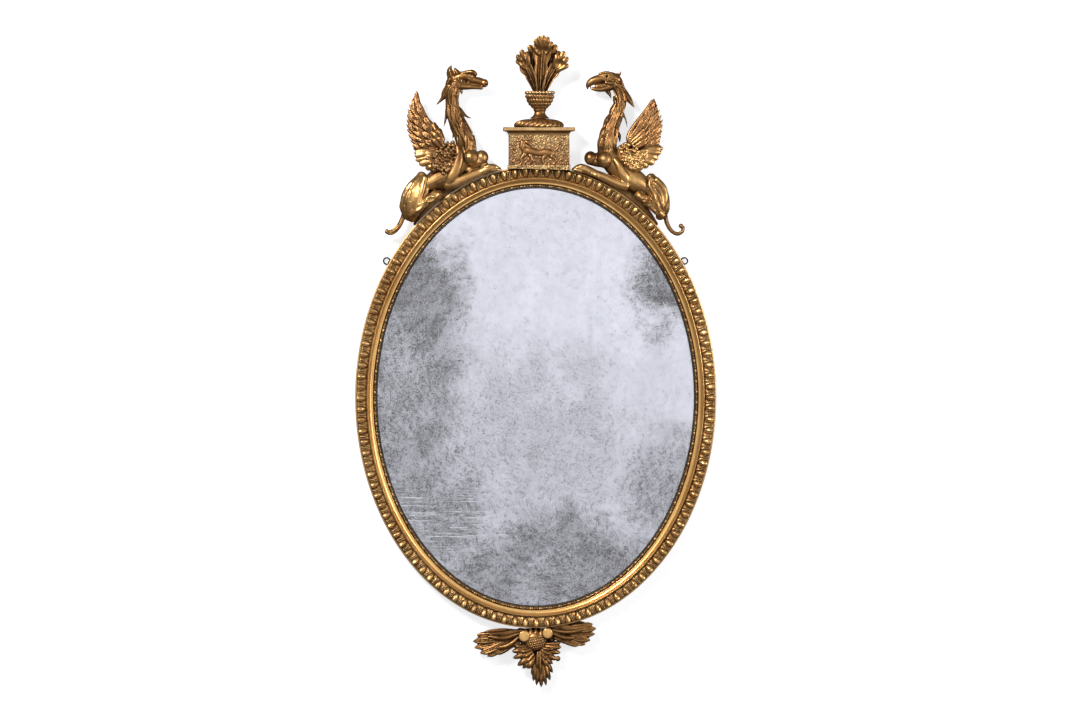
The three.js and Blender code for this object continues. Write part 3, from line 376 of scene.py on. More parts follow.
class Nodes:
    """The nodes of a material or of the world, made by short calls."""

    def __init__(self, owner):
        owner.use_nodes = True
        self.owner, self.tree = owner, owner.node_tree
        self.place = self.new("ShaderNodeTexCoord").outputs

    def feed(self, socket, value):
        """Sets a socket to a number or a colour, or links it to another node's output."""
        if isinstance(value, (int, float)):
            socket.default_value = value
        elif isinstance(value, tuple):
            socket.default_value = (*value, 1) if socket.type == "RGBA" else value
        else:
            self.tree.links.new(value, socket)

    def new(self, kind, inputs=None, **settings):
        node = self.tree.nodes.new(kind)
        for key, value in settings.items():
            setattr(node, key, value)
        for key, value in (inputs or {}).items():
            self.feed(node.inputs[key], value)
        return node

    def noise(self, scale, detail, rough, distortion=0.0, vector=None):
        inputs = {"Scale": scale, "Detail": detail, "Roughness": rough, "Distortion": distortion}
        inputs["Vector"] = vector or self.place["Object"]
        return self.new("ShaderNodeTexNoise", inputs).outputs["Fac"]

    def stretched(self, x, y, z):
        inputs = {"Scale": (x, y, z), "Vector": self.place["Object"]}
        return self.new("ShaderNodeMapping", inputs).outputs["Vector"]

    def ramp(self, source, *stops):
        """A colour or a number that follows another, by (place, value) stops."""
        node = self.new("ShaderNodeValToRGB", {"Fac": source})
        while len(node.color_ramp.elements) < len(stops):
            node.color_ramp.elements.new(0.5)
        for element, (place, value) in zip(node.color_ramp.elements, stops):
            element.position = place
            element.color = (*value, 1) if isinstance(value, tuple) else (value, value, value, 1)
        return node.outputs["Color"]

    def mix(self, factor, a, b):
        inputs = {0: factor, 6: a, 7: b}
        return self.new("ShaderNodeMix", inputs, data_type="RGBA", clamp_factor=True).outputs[2]

    def math(self, how, a, b):
        return self.new("ShaderNodeMath", {0: a, 1: b}, operation=how).outputs[0]

    def spread(self, source, amount):
        """A number round a half, as one round nothing."""
        return self.math("MULTIPLY", self.math("SUBTRACT", source, 0.5), amount)

    def bump(self, height, strength, distance, after=None):
        inputs = {"Strength": strength, "Distance": distance, "Height": height}
        if after:
            inputs["Normal"] = after
        return self.new("ShaderNodeBump", inputs).outputs["Normal"]

    def hollow(self, distance):
        return self.new("ShaderNodeAmbientOcclusion", {"Distance": distance}, samples=6).outputs["AO"]

    def parts(self, vector):
        return self.new("ShaderNodeSeparateXYZ", {0: vector}).outputs

    def facing(self):
        """How far a surface looks out of the wall, from 0 on the returns to 1 on the front."""
        normal = self.new("ShaderNodeNewGeometry").outputs["Normal"]
        return self.math("MULTIPLY", self.parts(normal)["Y"], -1.0)

    def painted_light_band(self):
        """1 in a band of height low on the crest, over the beasts' bodies, where a lighter leaf is painted as
        light.
        """
        height = self.parts(self.place["Object"])["Z"]
        height = self.math("ADD", height, self.spread(self.noise(6, 3, 0.6), 0.08))
        return self.ramp(height, (0.455, 0.0), (0.50, 1.0), (0.60, 1.0), (0.68, 0.0))

    def edges(self):
        return self.new("ShaderNodeNewGeometry").outputs["Pointiness"]


def principled(name):
    """A new material's nodes, with its shader at hand."""
    n = Nodes(bpy.data.materials.new(name))
    n.shader = n.tree.nodes["Principled BSDF"]
    return n


def finished(n, **values):
    """The material, with these values or nodes on its shader's sockets."""
    for key, value in values.items():
        n.feed(n.shader.inputs[key.replace("_", " ")], value)
    return n.owner


# the first is worn leaf with a painted highlight on the high edges, the second real dirt in specks
RUBBED_GOLD_AND_HIGHLIGHT, DIRT = (1.0, 0.72, 0.34), (0.12, 0.05, 0.02)
# painted shade on the returns, grime with painted shade in the hollows, painted shade in the punched pits
RETURN_SHADE, HOLLOW_GRIME_AND_SHADE, PIT_SHADE = (0.085, 0.034, 0.011), (0.030, 0.011, 0.004), (0.10, 0.045, 0.02)
BARE_BACK = ((0.20, 0.115, 0.06), (0.10, 0.055, 0.03))


def gilding(
    name, bright, deep, bole, wear, reach, side_shade=0.86, grime_and_shade=0.95, rough=(0.27, 0.44), pecked=0.0, painted_light_band=None
):
    """Old water gilding: leaf rubbed on the high points, which also carry a painted highlight, with grime
    and painted shade in the hollows and painted shade on the returns that turn away from the front.

    bright and deep are the leaf's colours and bole is what shows where wear has taken it. reach is
    how far from a hollow its grime and painted shade lie, in metres. toned is how dark the painted
    shade on the returns is and sunk how dark the grime and painted shade in the hollows are, pecked
    is how strongly the ground is punched, with painted shade in its pits, and handled is the lighter
    leaf colour painted as light in a band over the beasts' bodies.
    """
    n = principled(name)
    # painted light: a lighter leaf colour across a band of height over the beasts' bodies
    if painted_light_band:
        bright = n.mix(n.painted_light_band(), bright, painted_light_band)
    patches = n.noise(34, 6, 0.65, 0.6)
    specks = n.noise(240, 3, 0.7)
    leaf = n.mix(n.ramp(n.noise(9, 5, 0.6), (0.34, 0.0), (0.66, 1.0)), bright, deep)
    leaf = n.mix(n.ramp(patches, (0.48, 0.0), (0.72, wear)), leaf, bole)
    # rubbed leaf and a painted highlight: convex edges turn a brighter gold
    edge = n.ramp(n.edges(), (0.44, 0.0), (0.51, 0.0), (0.6, 1.0))
    rubbed = n.math("MULTIPLY", edge, n.ramp(patches, (0.36, 0.15), (0.6, 1.0)))
    leaf = n.mix(n.math("MULTIPLY", rubbed, 0.6), leaf, RUBBED_GOLD_AND_HIGHLIGHT)
    leaf = n.mix(n.ramp(specks, (0.62, 0.0), (0.74, 0.75)), leaf, DIRT)
    facing = n.facing()
    # painted shade: surfaces that turn away from the front darken towards a deep brown
    returns = n.ramp(facing, (0.12, side_shade), (0.62, 0.0))
    leaf = n.mix(returns, leaf, RETURN_SHADE)
    # grime together with painted shade: ambient occlusion darkens the leaf in hollows, creases and next to
    # the wall
    hollow = n.ramp(n.hollow(reach), (0.30, 1.0), (0.86, 0.0))
    leaf = n.mix(n.math("MULTIPLY", hollow, grime_and_shade), leaf, HOLLOW_GRIME_AND_SHADE)
    polish = n.ramp(patches, (0.3, rough[0]), (0.7, rough[1]))
    roughness = n.mix(n.math("MAXIMUM", returns, hollow), polish, (0.62, 0.62, 0.62))
    height = n.math("ADD", n.math("MULTIPLY", patches, 0.6), n.math("MULTIPLY", specks, 0.25))
    normal = n.bump(height, 0.28, 0.0012)
    if pecked:
        inputs = {"Scale": 250, "Vector": n.place["Object"]}
        dots = n.new("ShaderNodeTexVoronoi", inputs, feature="SMOOTH_F1").outputs["Distance"]
        normal = n.bump(dots, pecked, 0.0025, normal)
        # painted shade in the pits of the punched ground: the leaf darkens towards each pit's middle
        leaf = n.mix(n.ramp(dots, (0.10, 0.85), (0.42, 0.0)), leaf, PIT_SHADE)
    # the back was never gilded
    behind = n.ramp(n.math("MULTIPLY", facing, -1.0), (0.5, 0.0), (0.8, 1.0))
    leaf = n.mix(behind, leaf, n.ramp(patches, (0.3, BARE_BACK[0]), (0.7, BARE_BACK[1])))
    metal = n.math("MULTIPLY", n.math("SUBTRACT", 1.0, behind), 0.86)
    return finished(n, Base_Color=leaf, Roughness=roughness, Metallic=metal, Normal=normal)


gilt_frame = gilding(
    "gilt_frame", (1.0, 0.62, 0.235), (0.84, 0.47, 0.155), (0.46, 0.20, 0.075),
    wear=0.35, reach=0.007, side_shade=0.5, grime_and_shade=0.5,
)
gilt_moulding = gilding(
    "gilt_moulding", (0.96, 0.62, 0.265), (0.72, 0.41, 0.155), (0.34, 0.15, 0.055),
    wear=0.6, reach=0.007, side_shade=0.5, grime_and_shade=1.0,
)
gilt_beads = gilding(
    "gilt_beads", (0.66, 0.40, 0.16), (0.24, 0.12, 0.05), (0.10, 0.04, 0.02),
    wear=0.8, reach=0.005, side_shade=0.7,
)
gilt_pecked = gilding(
    "gilt_pecked", (0.38, 0.20, 0.078), (0.19, 0.09, 0.036), (0.15, 0.06, 0.03),
    wear=0.7, reach=0.006, grime_and_shade=1.0, rough=(0.36, 0.52), pecked=1.0,
)
gilt_plinth = gilding(
    "gilt_plinth", (0.54, 0.28, 0.10), (0.34, 0.16, 0.055), (0.17, 0.065, 0.025), wear=0.6, reach=0.010
)
# the last colour is the lighter leaf painted as light over the beasts' bodies
CARVING_BRIGHT, WING_BRIGHT, BODY_LIGHT_GOLD = (0.46, 0.235, 0.078), (0.42, 0.21, 0.075), (0.92, 0.54, 0.20)
carving_depths = ((0.17, 0.072, 0.024), (0.085, 0.03, 0.013))
gilt_carving = gilding("gilt_carving", CARVING_BRIGHT, *carving_depths, 0.7, 0.020, painted_light_band=BODY_LIGHT_GOLD)
gilt_wing = gilding("gilt_wing", WING_BRIGHT, *carving_depths, 0.7, 0.014)
gilt_plume = gilding("gilt_plume", CARVING_BRIGHT, *carving_depths, 0.75, 0.030)


# near-black for the sight slip: painted shade for the dark line where the glass meets the frame
def black_for_shade():
    n = principled("black_for_shade")
    rub = n.noise(120, 5, 0.7)
    return finished(
        n,
        Base_Color=n.ramp(rub, (0.35, (0.012, 0.010, 0.010)), (0.75, (0.06, 0.045, 0.035))),
        Roughness=n.ramp(rub, (0.3, 0.45), (0.7, 0.75)),
        Normal=n.bump(rub, 0.3, 0.0008),
    )


def iron():
    n = principled("old_iron")
    rust = n.noise(60, 6, 0.7)
    return finished(
        n,
        Base_Color=n.mix(n.ramp(rust, (0.5, 0.0), (0.72, 0.8)), (0.012, 0.011, 0.011), (0.075, 0.03, 0.015)),
        Roughness=n.ramp(rust, (0.35, 0.42), (0.7, 0.82)),
        Metallic=n.ramp(rust, (0.5, 0.9), (0.7, 0.3)),
        Normal=n.bump(n.noise(420, 3, 0.6), 0.5, 0.0008),
    )


def pine():
    n = principled("bare_pine")
    grain = n.noise(22, 6, 0.6, 1.2, n.stretched(9, 1, 0.35))
    pores = n.noise(160, 4, 0.7, 0.0, n.stretched(4, 1, 0.2))
    dark, light, middling = (0.19, 0.105, 0.05), (0.36, 0.22, 0.115), (0.27, 0.155, 0.075)
    wood = n.ramp(grain, (0.3, dark), (0.52, light), (0.72, middling))
    stain = n.ramp(n.noise(5, 4, 0.6), (0.45, 0.0), (0.75, 0.6))
    return finished(
        n,
        Base_Color=n.mix(stain, wood, (0.10, 0.06, 0.035)),
        Roughness=n.ramp(pores, (0.3, 0.7), (0.7, 0.9)),
        Normal=n.bump(n.math("ADD", grain, pores), 0.35, 0.001),
    )


# where the silver has gone: middle and half size in metres, and how far it is gone
WORN_PATCHES = (
    (-0.30, 0.25, 0.17, 0.34, 1.15), (-0.32, 0.02, 0.22, 0.46, 0.95), (-0.30, -0.28, 0.32, 0.34, 0.95),
    (0.36, 0.29, 0.17, 0.18, 1.25), (0.38, -0.22, 0.26, 0.26, 0.85), (0.02, -0.44, 0.46, 0.24, 1.0),
    (-0.05, -0.14, 0.50, 0.44, 0.58),
)
LEAST_WORN = 0.16
CLEAR_SILVER, HAZY_SILVER, DIM_SILVER = (0.80, 0.81, 0.89), (0.66, 0.67, 0.73), (0.50, 0.51, 0.55)
CLOUDED, SPOTTED, SCRAPED = (0.26, 0.265, 0.275), (0.075, 0.076, 0.082), (0.74, 0.75, 0.79)


def worn_away(n, x, z):
    """How far the silver is gone: patches with wandering edges, mottled inside."""
    place = n.new("ShaderNodeCombineXYZ", {0: x, 2: z}).outputs[0]
    worn = LEAST_WORN
    for middle_x, middle_z, half_x, half_z, strength in WORN_PATCHES:
        inputs = {"Location": (middle_x, 0, middle_z), "Scale": (half_x, 1, half_z), "Vector": place}
        patch = n.new("ShaderNodeMapping", inputs, vector_type="TEXTURE").outputs[0]
        fall = n.new("ShaderNodeTexGradient", {0: patch}, gradient_type="SPHERICAL").outputs["Fac"]
        worn = n.math("MAXIMUM", n.ramp(fall, (0.0, 0.0), (0.62, strength)), worn)
    return n.math("MULTIPLY", worn, n.ramp(n.noise(17, 6, 0.75), (0.36, 1.0), (0.64, 0.66)))


def speckled(n, worn):
    """Small dark spots, the more of them the further the silver is gone."""
    fine = n.math("MULTIPLY", n.noise(340, 3, 0.85), 0.74)
    coarse = n.math("MULTIPLY", n.noise(70, 5, 0.8), 0.26)
    threshold = n.math("SUBTRACT", 0.585, n.math("MULTIPLY", worn, 0.13))
    over = n.math("SUBTRACT", n.math("ADD", fine, coarse), threshold)
    return n.ramp(n.math("MULTIPLY", over, 20.0), (0.0, 0.0), (1.0, 1.0))


def scraped(n, x, z):
    """Fine level scratches low at the left."""
    streaks = n.ramp(n.noise(60, 4, 0.7, 0.0, n.stretched(0.14, 1, 4)), (0.56, 0.0), (0.62, 1.0))
    low = n.ramp(n.math("ADD", z, 0.5), (0.10, 0.0), (0.15, 0.8), (0.24, 0.8), (0.28, 0.0))
    left = n.ramp(n.math("ADD", x, 0.5), (0.34, 1.0), (0.46, 0.0))
    return n.math("MULTIPLY", streaks, n.math("MULTIPLY", low, left))


def old_mirror():
    """Silvering gone cloudy and speckled, heaviest at the left, low down and at the right edge."""
    n = principled("old_mirror")
    here = n.parts(n.place["Object"])
    warp = n.math("ADD", n.spread(n.noise(3.4, 6, 0.62), 0.26), n.spread(n.noise(15, 6, 0.7), 0.16))
    x = n.math("ADD", here["X"], warp)
    z = n.math("ADD", here["Z"], n.math("MULTIPLY", warp, 1.3))
    worn = worn_away(n, x, z)
    spots = speckled(n, worn)
    haze = n.ramp(n.noise(7, 6, 0.65, 0.8, n.stretched(1.6, 1, 0.7)), (0.32, 0.0), (0.68, 1.0))
    tone = n.mix(haze, CLEAR_SILVER, HAZY_SILVER)
    tone = n.mix(n.ramp(n.noise(42, 6, 0.75), (0.40, 0.0), (0.66, 0.35)), tone, DIM_SILVER)
    tone = n.mix(n.math("MULTIPLY", worn, 0.62), tone, CLOUDED)
    tone = n.mix(n.math("MULTIPLY", spots, 0.94), tone, SPOTTED)
    tone = n.mix(scraped(n, x, z), tone, SCRAPED)
    return finished(
        n,
        Base_Color=tone,
        Metallic=n.math("SUBTRACT", 0.6, n.math("MULTIPLY", spots, 0.5)),
        Roughness=n.ramp(spots, (0.0, 0.18), (1.0, 0.5)),
        Normal=n.bump(n.noise(5, 3, 0.5), 0.1, 0.002),
    )


slip_shade_black, old_iron, bare_pine, silvering = black_for_shade(), iron(), pine(), old_mirror()

# ---- The oval frame ----------------------------------------------------------------------

oval_angles = np.linspace(0, math.tau, 20001)
oval_steps = np.hypot(np.diff(OVAL_A * np.cos(oval_angles)), np.diff(OVAL_B * np.sin(oval_angles)))
oval_lengths = np.concatenate([[0], np.cumsum(oval_steps)])


def angle_after(share):
    """The oval's own angle after a share of its way round."""
    return np.interp(np.mod(share, 1.0) * oval_lengths[-1], oval_lengths, oval_angles)


def oval_points(angle, inset, height):
    nx, ny = np.cos(angle) / OVAL_A, np.sin(angle) / OVAL_B
    size = np.hypot(nx, ny)
    x = OVAL_A * np.cos(angle) - inset * nx / size
    y = OVAL_B * np.sin(angle) - inset * ny / size
    return np.stack(np.broadcast_arrays(x, y, height), axis=-1)


def oval_ring(name, shares, inset, height, material):
    """A ring from grids of inset and height: one row for each place round, closed in both ways."""
    points = oval_points(angle_after(shares)[:, None], inset, height)
    faces = grid_faces(points.shape[0], points.shape[1], loop_rows=True, loop_columns=True)
    return make(name, points, faces, material)


# insets of the bands on the face
egg_start = EDGE_FILLET + PLAY
egg_end = egg_start + EGG_BAND
cove_start = egg_end + QUIRK
cove_end = cove_start + COVE_BAND
bead_start = cove_end + BEAD_FILLET
bead_end = bead_start + BEAD_BAND
lip_end = bead_end + PLAY
slip_start = lip_end + PLAY
oval_shares = np.arange(420) / 420


def carved_carcass():
    """The carcass with its cove, a little uneven as it is cut by hand."""
    cove = [
        (
            cove_start + 1.6 + (COVE_BAND - 3.4) * (1 - math.cos(a)),
            COVE_FOOT + (COVE_CREST - COVE_FOOT) * (1 - math.sin(a)),
        )
        for a in np.linspace(0, math.pi / 2, 14)
    ]
    section = np.array([
        (0.6, 0), (0, 0.6), (0, 9), (0, 18), (0, 26.6), (0.3, 27.5), (1.2, SEAT), (egg_start, SEAT),
        (egg_end, SEAT - 1), (cove_start - 0.4, SEAT - 1), (cove_start, SEAT),
        (cove_start, COVE_CREST - 1.2), (cove_start + 0.35, COVE_CREST - 0.35),
        (cove_start + 1.2, COVE_CREST),
        *cove,
        (cove_end - 0.9, COVE_FOOT + 0.25), (cove_end - 0.2, COVE_FOOT - 0.2), (cove_end, COVE_FOOT - 1),
        (cove_end, BEAD_SEAT), (lip_end, BEAD_SEAT), (lip_end, GLASS_FRONT + PLAY),
        (REBATE, GLASS_FRONT + PLAY), (REBATE, BOARD_LEDGE), (BOARD_REBATE, BOARD_LEDGE), (BOARD_REBATE, 0),
    ])
    inset, height = section.T
    wobble = 0.12 * np.sin(oval_shares * math.tau * 9) + 0.1 * np.sin(oval_shares * math.tau * 23 + 1)
    raised = np.interp(height, [SEAT - 2, COVE_CREST], [0, 1])
    height = height + wobble[:, None] * raised
    return oval_ring("carved_oval", oval_shares, inset[None, :], height, gilt_frame)


def cut_hull(obj, points):
    """Takes the convex hull of some points, in metres, out of a closed mesh."""
    work = bmesh.new()
    for point in points:
        work.verts.new(point)
    bmesh.ops.remove_doubles(work, verts=work.verts, dist=1e-6)
    hull = bmesh.ops.convex_hull(work, input=work.verts)
    unused = hull["geom_interior"] + hull["geom_unused"]
    spare = {part for part in unused if isinstance(part, bmesh.types.BMVert)}
    bmesh.ops.delete(work, geom=list(spare), context="VERTS")
    bmesh.ops.recalc_face_normals(work, faces=work.faces)
    tool = bpy.data.objects.new("tool", bpy.data.meshes.new("tool"))
    bpy.context.scene.collection.objects.link(tool)
    work.to_mesh(tool.data)
    work.free()
    cut = obj.modifiers.new("housing", "BOOLEAN")
    cut.operation, cut.solver, cut.object = "DIFFERENCE", "EXACT", tool
    apply_modifiers(obj)
    bpy.data.objects.remove(tool)


def housing(obj, name):
    """Cuts a housing into the back for an iron piece, from the hull of its CAD node."""
    node = frame["nodes"][name]
    room, just_behind, near_back = 0.0004, 0.001, -0.002
    centre = sum((Vector(c) for c in node.bound_box), Vector()) / 8
    points = []
    for v in node.data.vertices:
        point = v.co + Vector(room if c > 0 else -room for c in v.co - centre)
        if point.y > near_back:
            point.y = just_behind
        points.append(point)
    cut_hull(obj, points)


def swing_notch(obj, angle):
    """Cuts the slot in the edge that a hanging ring swings forward into, with room round it."""
    edge = oval_points(angle, 0, 0)
    out = oval_points(angle, -1, 0) - edge
    along = np.array([-out[1], out[0], 0])
    half, inner, top = 1.5 * RING_RADIUS, -6.5, 24.1
    corners = [
        edge + deep * out + wide * along + np.array([0, 0, high])
        for deep in (inner, 2) for wide in (-half, half) for high in (-1, top)
    ]
    cut_hull(obj, row(corners).tolist())


carcass = carved_carcass()
for iron_piece in (
    "crest_stay", "beast_stay_left", "beast_stay_right", "apron_stay", "hanger_plate_left",
    "hanger_plate_right",
):
    housing(carcass, iron_piece)
swing_notch(carcass, math.radians(HANGER_ANGLE))
swing_notch(carcass, math.pi - math.radians(HANGER_ANGLE))
carcass.data.polygons.foreach_set("use_smooth", [True] * len(carcass.data.polygons))
finish(carcass, "gilt_frame", "carcass")


def half_round(place, half):
    """The height of a round of unit radius at a place across it."""
    return np.sqrt(np.clip(1 - (place / half) ** 2, 0, 1))


def hump(place, half):
    """A soft ridge."""
    return np.exp(-((place / half) ** 2))


def egg_and_dart():
    """One egg, its shell and one dart, repeated round the oval."""
    per, across = 26, 22
    u = (np.arange(per) / per + 0.5) % 1 - 0.5
    t = np.concatenate([np.linspace(0, 0.9, across - 4), [0.94, 0.97, 0.99, 1.0]])
    u, t = np.meshgrid(u, t, indexing="ij")
    # the quarter round that everything is cut from
    base = 4.2 * half_round(t - 0.16, 0.86) + 1.2 * (1 - t)
    base = np.where(t < 0.16, base * (0.55 + 0.45 * (t / 0.16)), base)
    a = np.abs(u)
    half = 0.272 * half_round(t - 0.34, 0.60) ** 0.9 * (1 - 0.18 * np.clip(t - 0.34, 0, 1))
    egg = 11.0 * half_round(a, np.maximum(half, 1e-3)) * half_round(np.clip(t - 0.3, 0, 1), 0.66)
    shell = 4.6 * hump(a - half - 0.075, 0.022) * np.clip((1.02 - t) * 8, 0, 1)
    dart = 5.0 * hump(0.5 - a, 0.022 + 0.03 * np.clip(t, 0, 1)) * np.clip((1.0 - t) * 6, 0, 1)
    groove = -2.8 * hump(a - half - 0.014, 0.016)
    tallest = 18.6
    lift = np.clip(base + egg + shell + dart + groove, 0.3, tallest)
    lift[:, 0], lift[:, -1] = 0.0, 0.0
    size = 1 + 0.05 * np.random.default_rng(3).standard_normal(EGG_COUNT)
    inset = egg_start + EGG_BAND * t + 0.25
    inset[:, 0], inset[:, -1] = egg_start + 0.02, egg_end
    heights = np.concatenate([SEAT + PLAY + np.minimum(lift * s, tallest + 0.1) for s in size])
    shares = np.concatenate([(k + np.arange(per) / per) / EGG_COUNT for k in range(EGG_COUNT)])
    return oval_ring("egg_and_dart", shares, np.tile(inset, (EGG_COUNT, 1)), heights, gilt_moulding)


finish(egg_and_dart(), "gilt_moulding", "egg_and_dart_moulding")


def bead_and_reel():
    """One bead and its reels, repeated round the oval."""
    per, across = 28, 9
    u = np.arange(per) / per - 0.5
    u, t = np.meshgrid(u, np.linspace(0, 1, across), indexing="ij")
    a = np.abs(u)
    peak = np.maximum(5.9 * half_round(a, 0.27), 1.1)
    for place in (0.335, 0.42, 0.5):
        peak = np.maximum(peak, 4.6 * half_round(a - place, 0.036))
    reach = np.clip(0.5 * peak / 5.2, 0.12, 0.5)
    heights = np.tile(BEAD_SEAT + PLAY + peak * half_round(t - 0.5, reach), (EGG_COUNT, 1))
    insets = np.tile(bead_start + BEAD_BAND * t, (EGG_COUNT, 1))
    shares = np.arange(EGG_COUNT * per) / (EGG_COUNT * per)
    return oval_ring("bead_and_reel", shares, insets, heights, gilt_beads)


def slip():
    """The narrow moulding against the glass, as (inset, height) across it, black as painted shade."""
    section = np.array([(0, 18.3), (0, 20.9), (0.4, 21.3), (1.2, 20.6), (2.6, 18.8), (3, 18.3)])
    inset, height = section.T
    return oval_ring("black_slip", oval_shares, slip_start + inset[None, :], height[None, :], slip_shade_black)


finish(bead_and_reel(), "gilt_moulding", "bead_and_reel_moulding")
finish(slip(), "blackened_wood", "sight_slip")

# ---- Plinth and cornice ------------------------------------------------------------------


def squared(name, levels, material):
    """A block with a moulded profile on its front and sides: levels of (y, half width, front)."""
    corner = 0.8
    rings = []
    for y, half, front in levels:
        left, right, inner = CREST_X - half, CREST_X + half, front - corner
        rings.append([
            (left, y, BACK), (left, y, inner), (left + corner, y, front),
            (right - corner, y, front), (right, y, inner), (right, y, BACK),
        ])
    block = Carving()
    block.rings(rings)
    return block.mesh(name, material, smooth=False)


def cornice_levels():
    """Fillet, cove and square edge, up the cornice."""
    levels = [(654, 74.6, 55.6), (655.4, 75.2, 56.2)]
    for turn in np.linspace(0.1, 1, 9):
        out = 12.0 * (1 - math.cos(math.pi / 2 * turn))
        levels.append((655.4 + 8.9 * math.sin(math.pi / 2 * turn), 75.2 + out, 56.2 + out))
    return levels + [(664.6, 88.4, 69.4), (665.2, 89, 70), (672.2, 89, 70), (673, 88.4, 69.4)]


DIE_LEVELS = [
    (568, 77.5, 58.5), (579.6, 77.5, 58.5), (580.2, 77.1, 58.1), (580.8, 75.2, 56.2), (653.4, 75, 56),
    (653.7, 74.7, 55.7),
]
finish(seat_on_oval(squared("plinth_block", DIE_LEVELS, gilt_pecked)), "gilt_carving", "plinth_die")
finish(squared("cornice", cornice_levels(), gilt_plinth), "gilt_frame", "plinth_cornice")


def plinth_relief():
    """A walking beast cut in low relief, a bush before it and a tuft of leaves above."""
    z = 55.5
    c = Carving()
    c.limb([
        (522.5, 152.5, z, 8, 4), (529, 151.5, z, 10, 6), (538, 153.5, z, 8.5, 5), (547, 153, z, 10, 6),
        (551.5, 155, z, 8, 4),
    ], 12)
    c.limb([(524.5, 151, z, 8, 5), (521.5, 147.5, z, 7, 5), (522.6, 142.8, z, 7, 5)], 8)
    c.limb([(530, 146, z, 5, 4), (527.5, 143.2, z, 6, 5), (524.5, 142.5, z, 4.5, 4)], 8)
    c.limb([
        (524, 155, z, 6, 5), (520.5, 159.5, z, 3.8, 4), (521, 163.5, z, 3, 3.5),
        (518.5, 165.2, z, 3, 3),
    ], 10)
    c.limb([(529.5, 156, z, 5.5, 5), (530.8, 160.5, z, 3.6, 4), (528.5, 165, z, 3, 3)], 10)
    c.limb([(545, 155.5, z, 7, 5), (541.8, 160.5, z, 4, 4), (543.8, 165, z, 3, 3)], 10)
    c.limb([(551, 156.5, z, 7, 5), (555, 160.5, z, 4, 4), (552.5, 165, z, 3, 3)], 10)
    c.limb([
        (551.5, 152.5, z, 2.6, 3), (556, 149.5, z, 2.2, 3), (557.5, 145, z, 2.2, 3),
        (561, 144.2, z, 1.6, 2.5),
    ], 12)
    for px, py in ((515, 145), (517.5, 141.5), (514, 149), (518.5, 138.6), (513.5, 153), (520.3, 141)):
        c.ball(px, py, z, (4.2, 4.4, 3.4), 10)
    for px, py, tx, ty in ((532, 141, 529, 138.6), (535, 141.5, 534.5, 138.5), (538, 143, 541, 139.6)):
        c.limb([(px, py, z, 2.6, 3), ((px + tx) / 2, (py + ty) / 2, z, 2.4, 3), (tx, ty, z, 0.8, 2)], 6)
    relief = c.bake("plinth_relief_carving", gilt_plinth, 1.2)
    return press(relief, lambda p: np.clip(p[:, 2], 56.3, 61.5))


finish(plinth_relief(), "gilt_carving", "plinth_relief")

# ---- Dome, urn and its rim ---------------------------------------------------------------


def turned(name, levels, sides, x, material, carve):
    """A turned piece, oval in plan: levels of (y, radius); carve adds to the radius."""
    y, radius = np.asarray(levels, float).T[:, :, None]
    u = turns(sides)
    radius = radius + carve(u[None, :], np.linspace(0, 1, len(levels))[:, None])
    depth = CREST_MIDDLE + PLAN_DEPTH * radius * np.sin(u)
    c = Carving()
    c.rings(np.stack(np.broadcast_arrays(x + radius * np.cos(u), y, depth), axis=-1))
    return c.mesh(name, material)


def gadroons(u, t):
    """24 slanting lobes, fading towards the top and the bottom."""
    wave = np.abs(np.sin((24 * u + 10 * t) / 2))
    return 7.6 * wave**0.7 * np.sin(np.pi * np.clip(0.2 + 0.85 * t, 0, 1)) - 6.0


def basket(u, t):
    """Rows of small beads on the bowl, each row half a bead on from the last."""
    bowl_from, rows = 0.60, 4
    band = np.clip((t - bowl_from) / (1 - bowl_from), 0, 1) * rows
    row_at = np.floor(band)
    bead = np.abs(np.sin(13 * u + (row_at % 2) * math.pi / 2))
    return np.where(t > bowl_from, 3.0 * (bead * np.sin(np.pi * (band - row_at))) ** 0.7 - 1.6, 0.0)


def dome_levels():
    swell = np.linspace(0.02, 0.97, 22) * math.pi / 2
    shoulder = [(674 + 20.2 * math.sin(a), 24 + 38.5 * math.cos(a) ** 0.8) for a in swell]
    return [(673.3, 60), *shoulder, (695, 22.5)]


URN_KEYS = [
    (695.4, 24.5), (697.5, 23), (701, 18.5), (706, 14.6), (711, 13.2), (714, 14.6), (716, 16.4),
    (717.5, 15.2),
    (720, 17), (725, 22.5), (731, 27.5), (738, 31.4), (746, 34.2), (754, 36),
]
dome = turned("gadrooned_cap", dome_levels(), 336, CREST_X, gilt_plinth, gadroons)
finish(press(dome, lambda p: np.maximum(p[:, 2], BACK)), "gilt_moulding", "gadrooned_dome")
urn = turned("urn_body", spline(URN_KEYS, 64), 260, URN_X, gilt_carving, basket)
finish(urn, "gilt_carving", "urn")


def beaded_rim():
    """A thin ring with 24 beads on it, oval in plan like the urn."""
    c = Carving()
    y, rim, beads = 759.2, 33.4, 33.8
    ring = []
    for u in turns(96):
        section = []
        for v in turns(8):
            radius = rim + 2.6 * math.cos(v)
            depth = CREST_MIDDLE + PLAN_DEPTH * radius * math.sin(u)
            section.append((URN_X + radius * math.cos(u), y + 2.4 * math.sin(v), depth))
        ring.append(section)
    c.add(ring, grid_faces(96, 8, True, True))
    for u in turns(24):
        px = (URN_X + beads * math.cos(u)) / MM_PER_PIXEL + CENTRE_PIXEL[0]
        py = CENTRE_PIXEL[1] - y / MM_PER_PIXEL
        c.ball(px, py, CREST_MIDDLE + PLAN_DEPTH * beads * math.sin(u), (4.1, 4.3, 4.1), 12)
    return c.mesh("rim_beads", gilt_moulding)


finish(beaded_rim(), "gilt_moulding", "urn_beaded_rim")

# ---- Plume -------------------------------------------------------------------------------


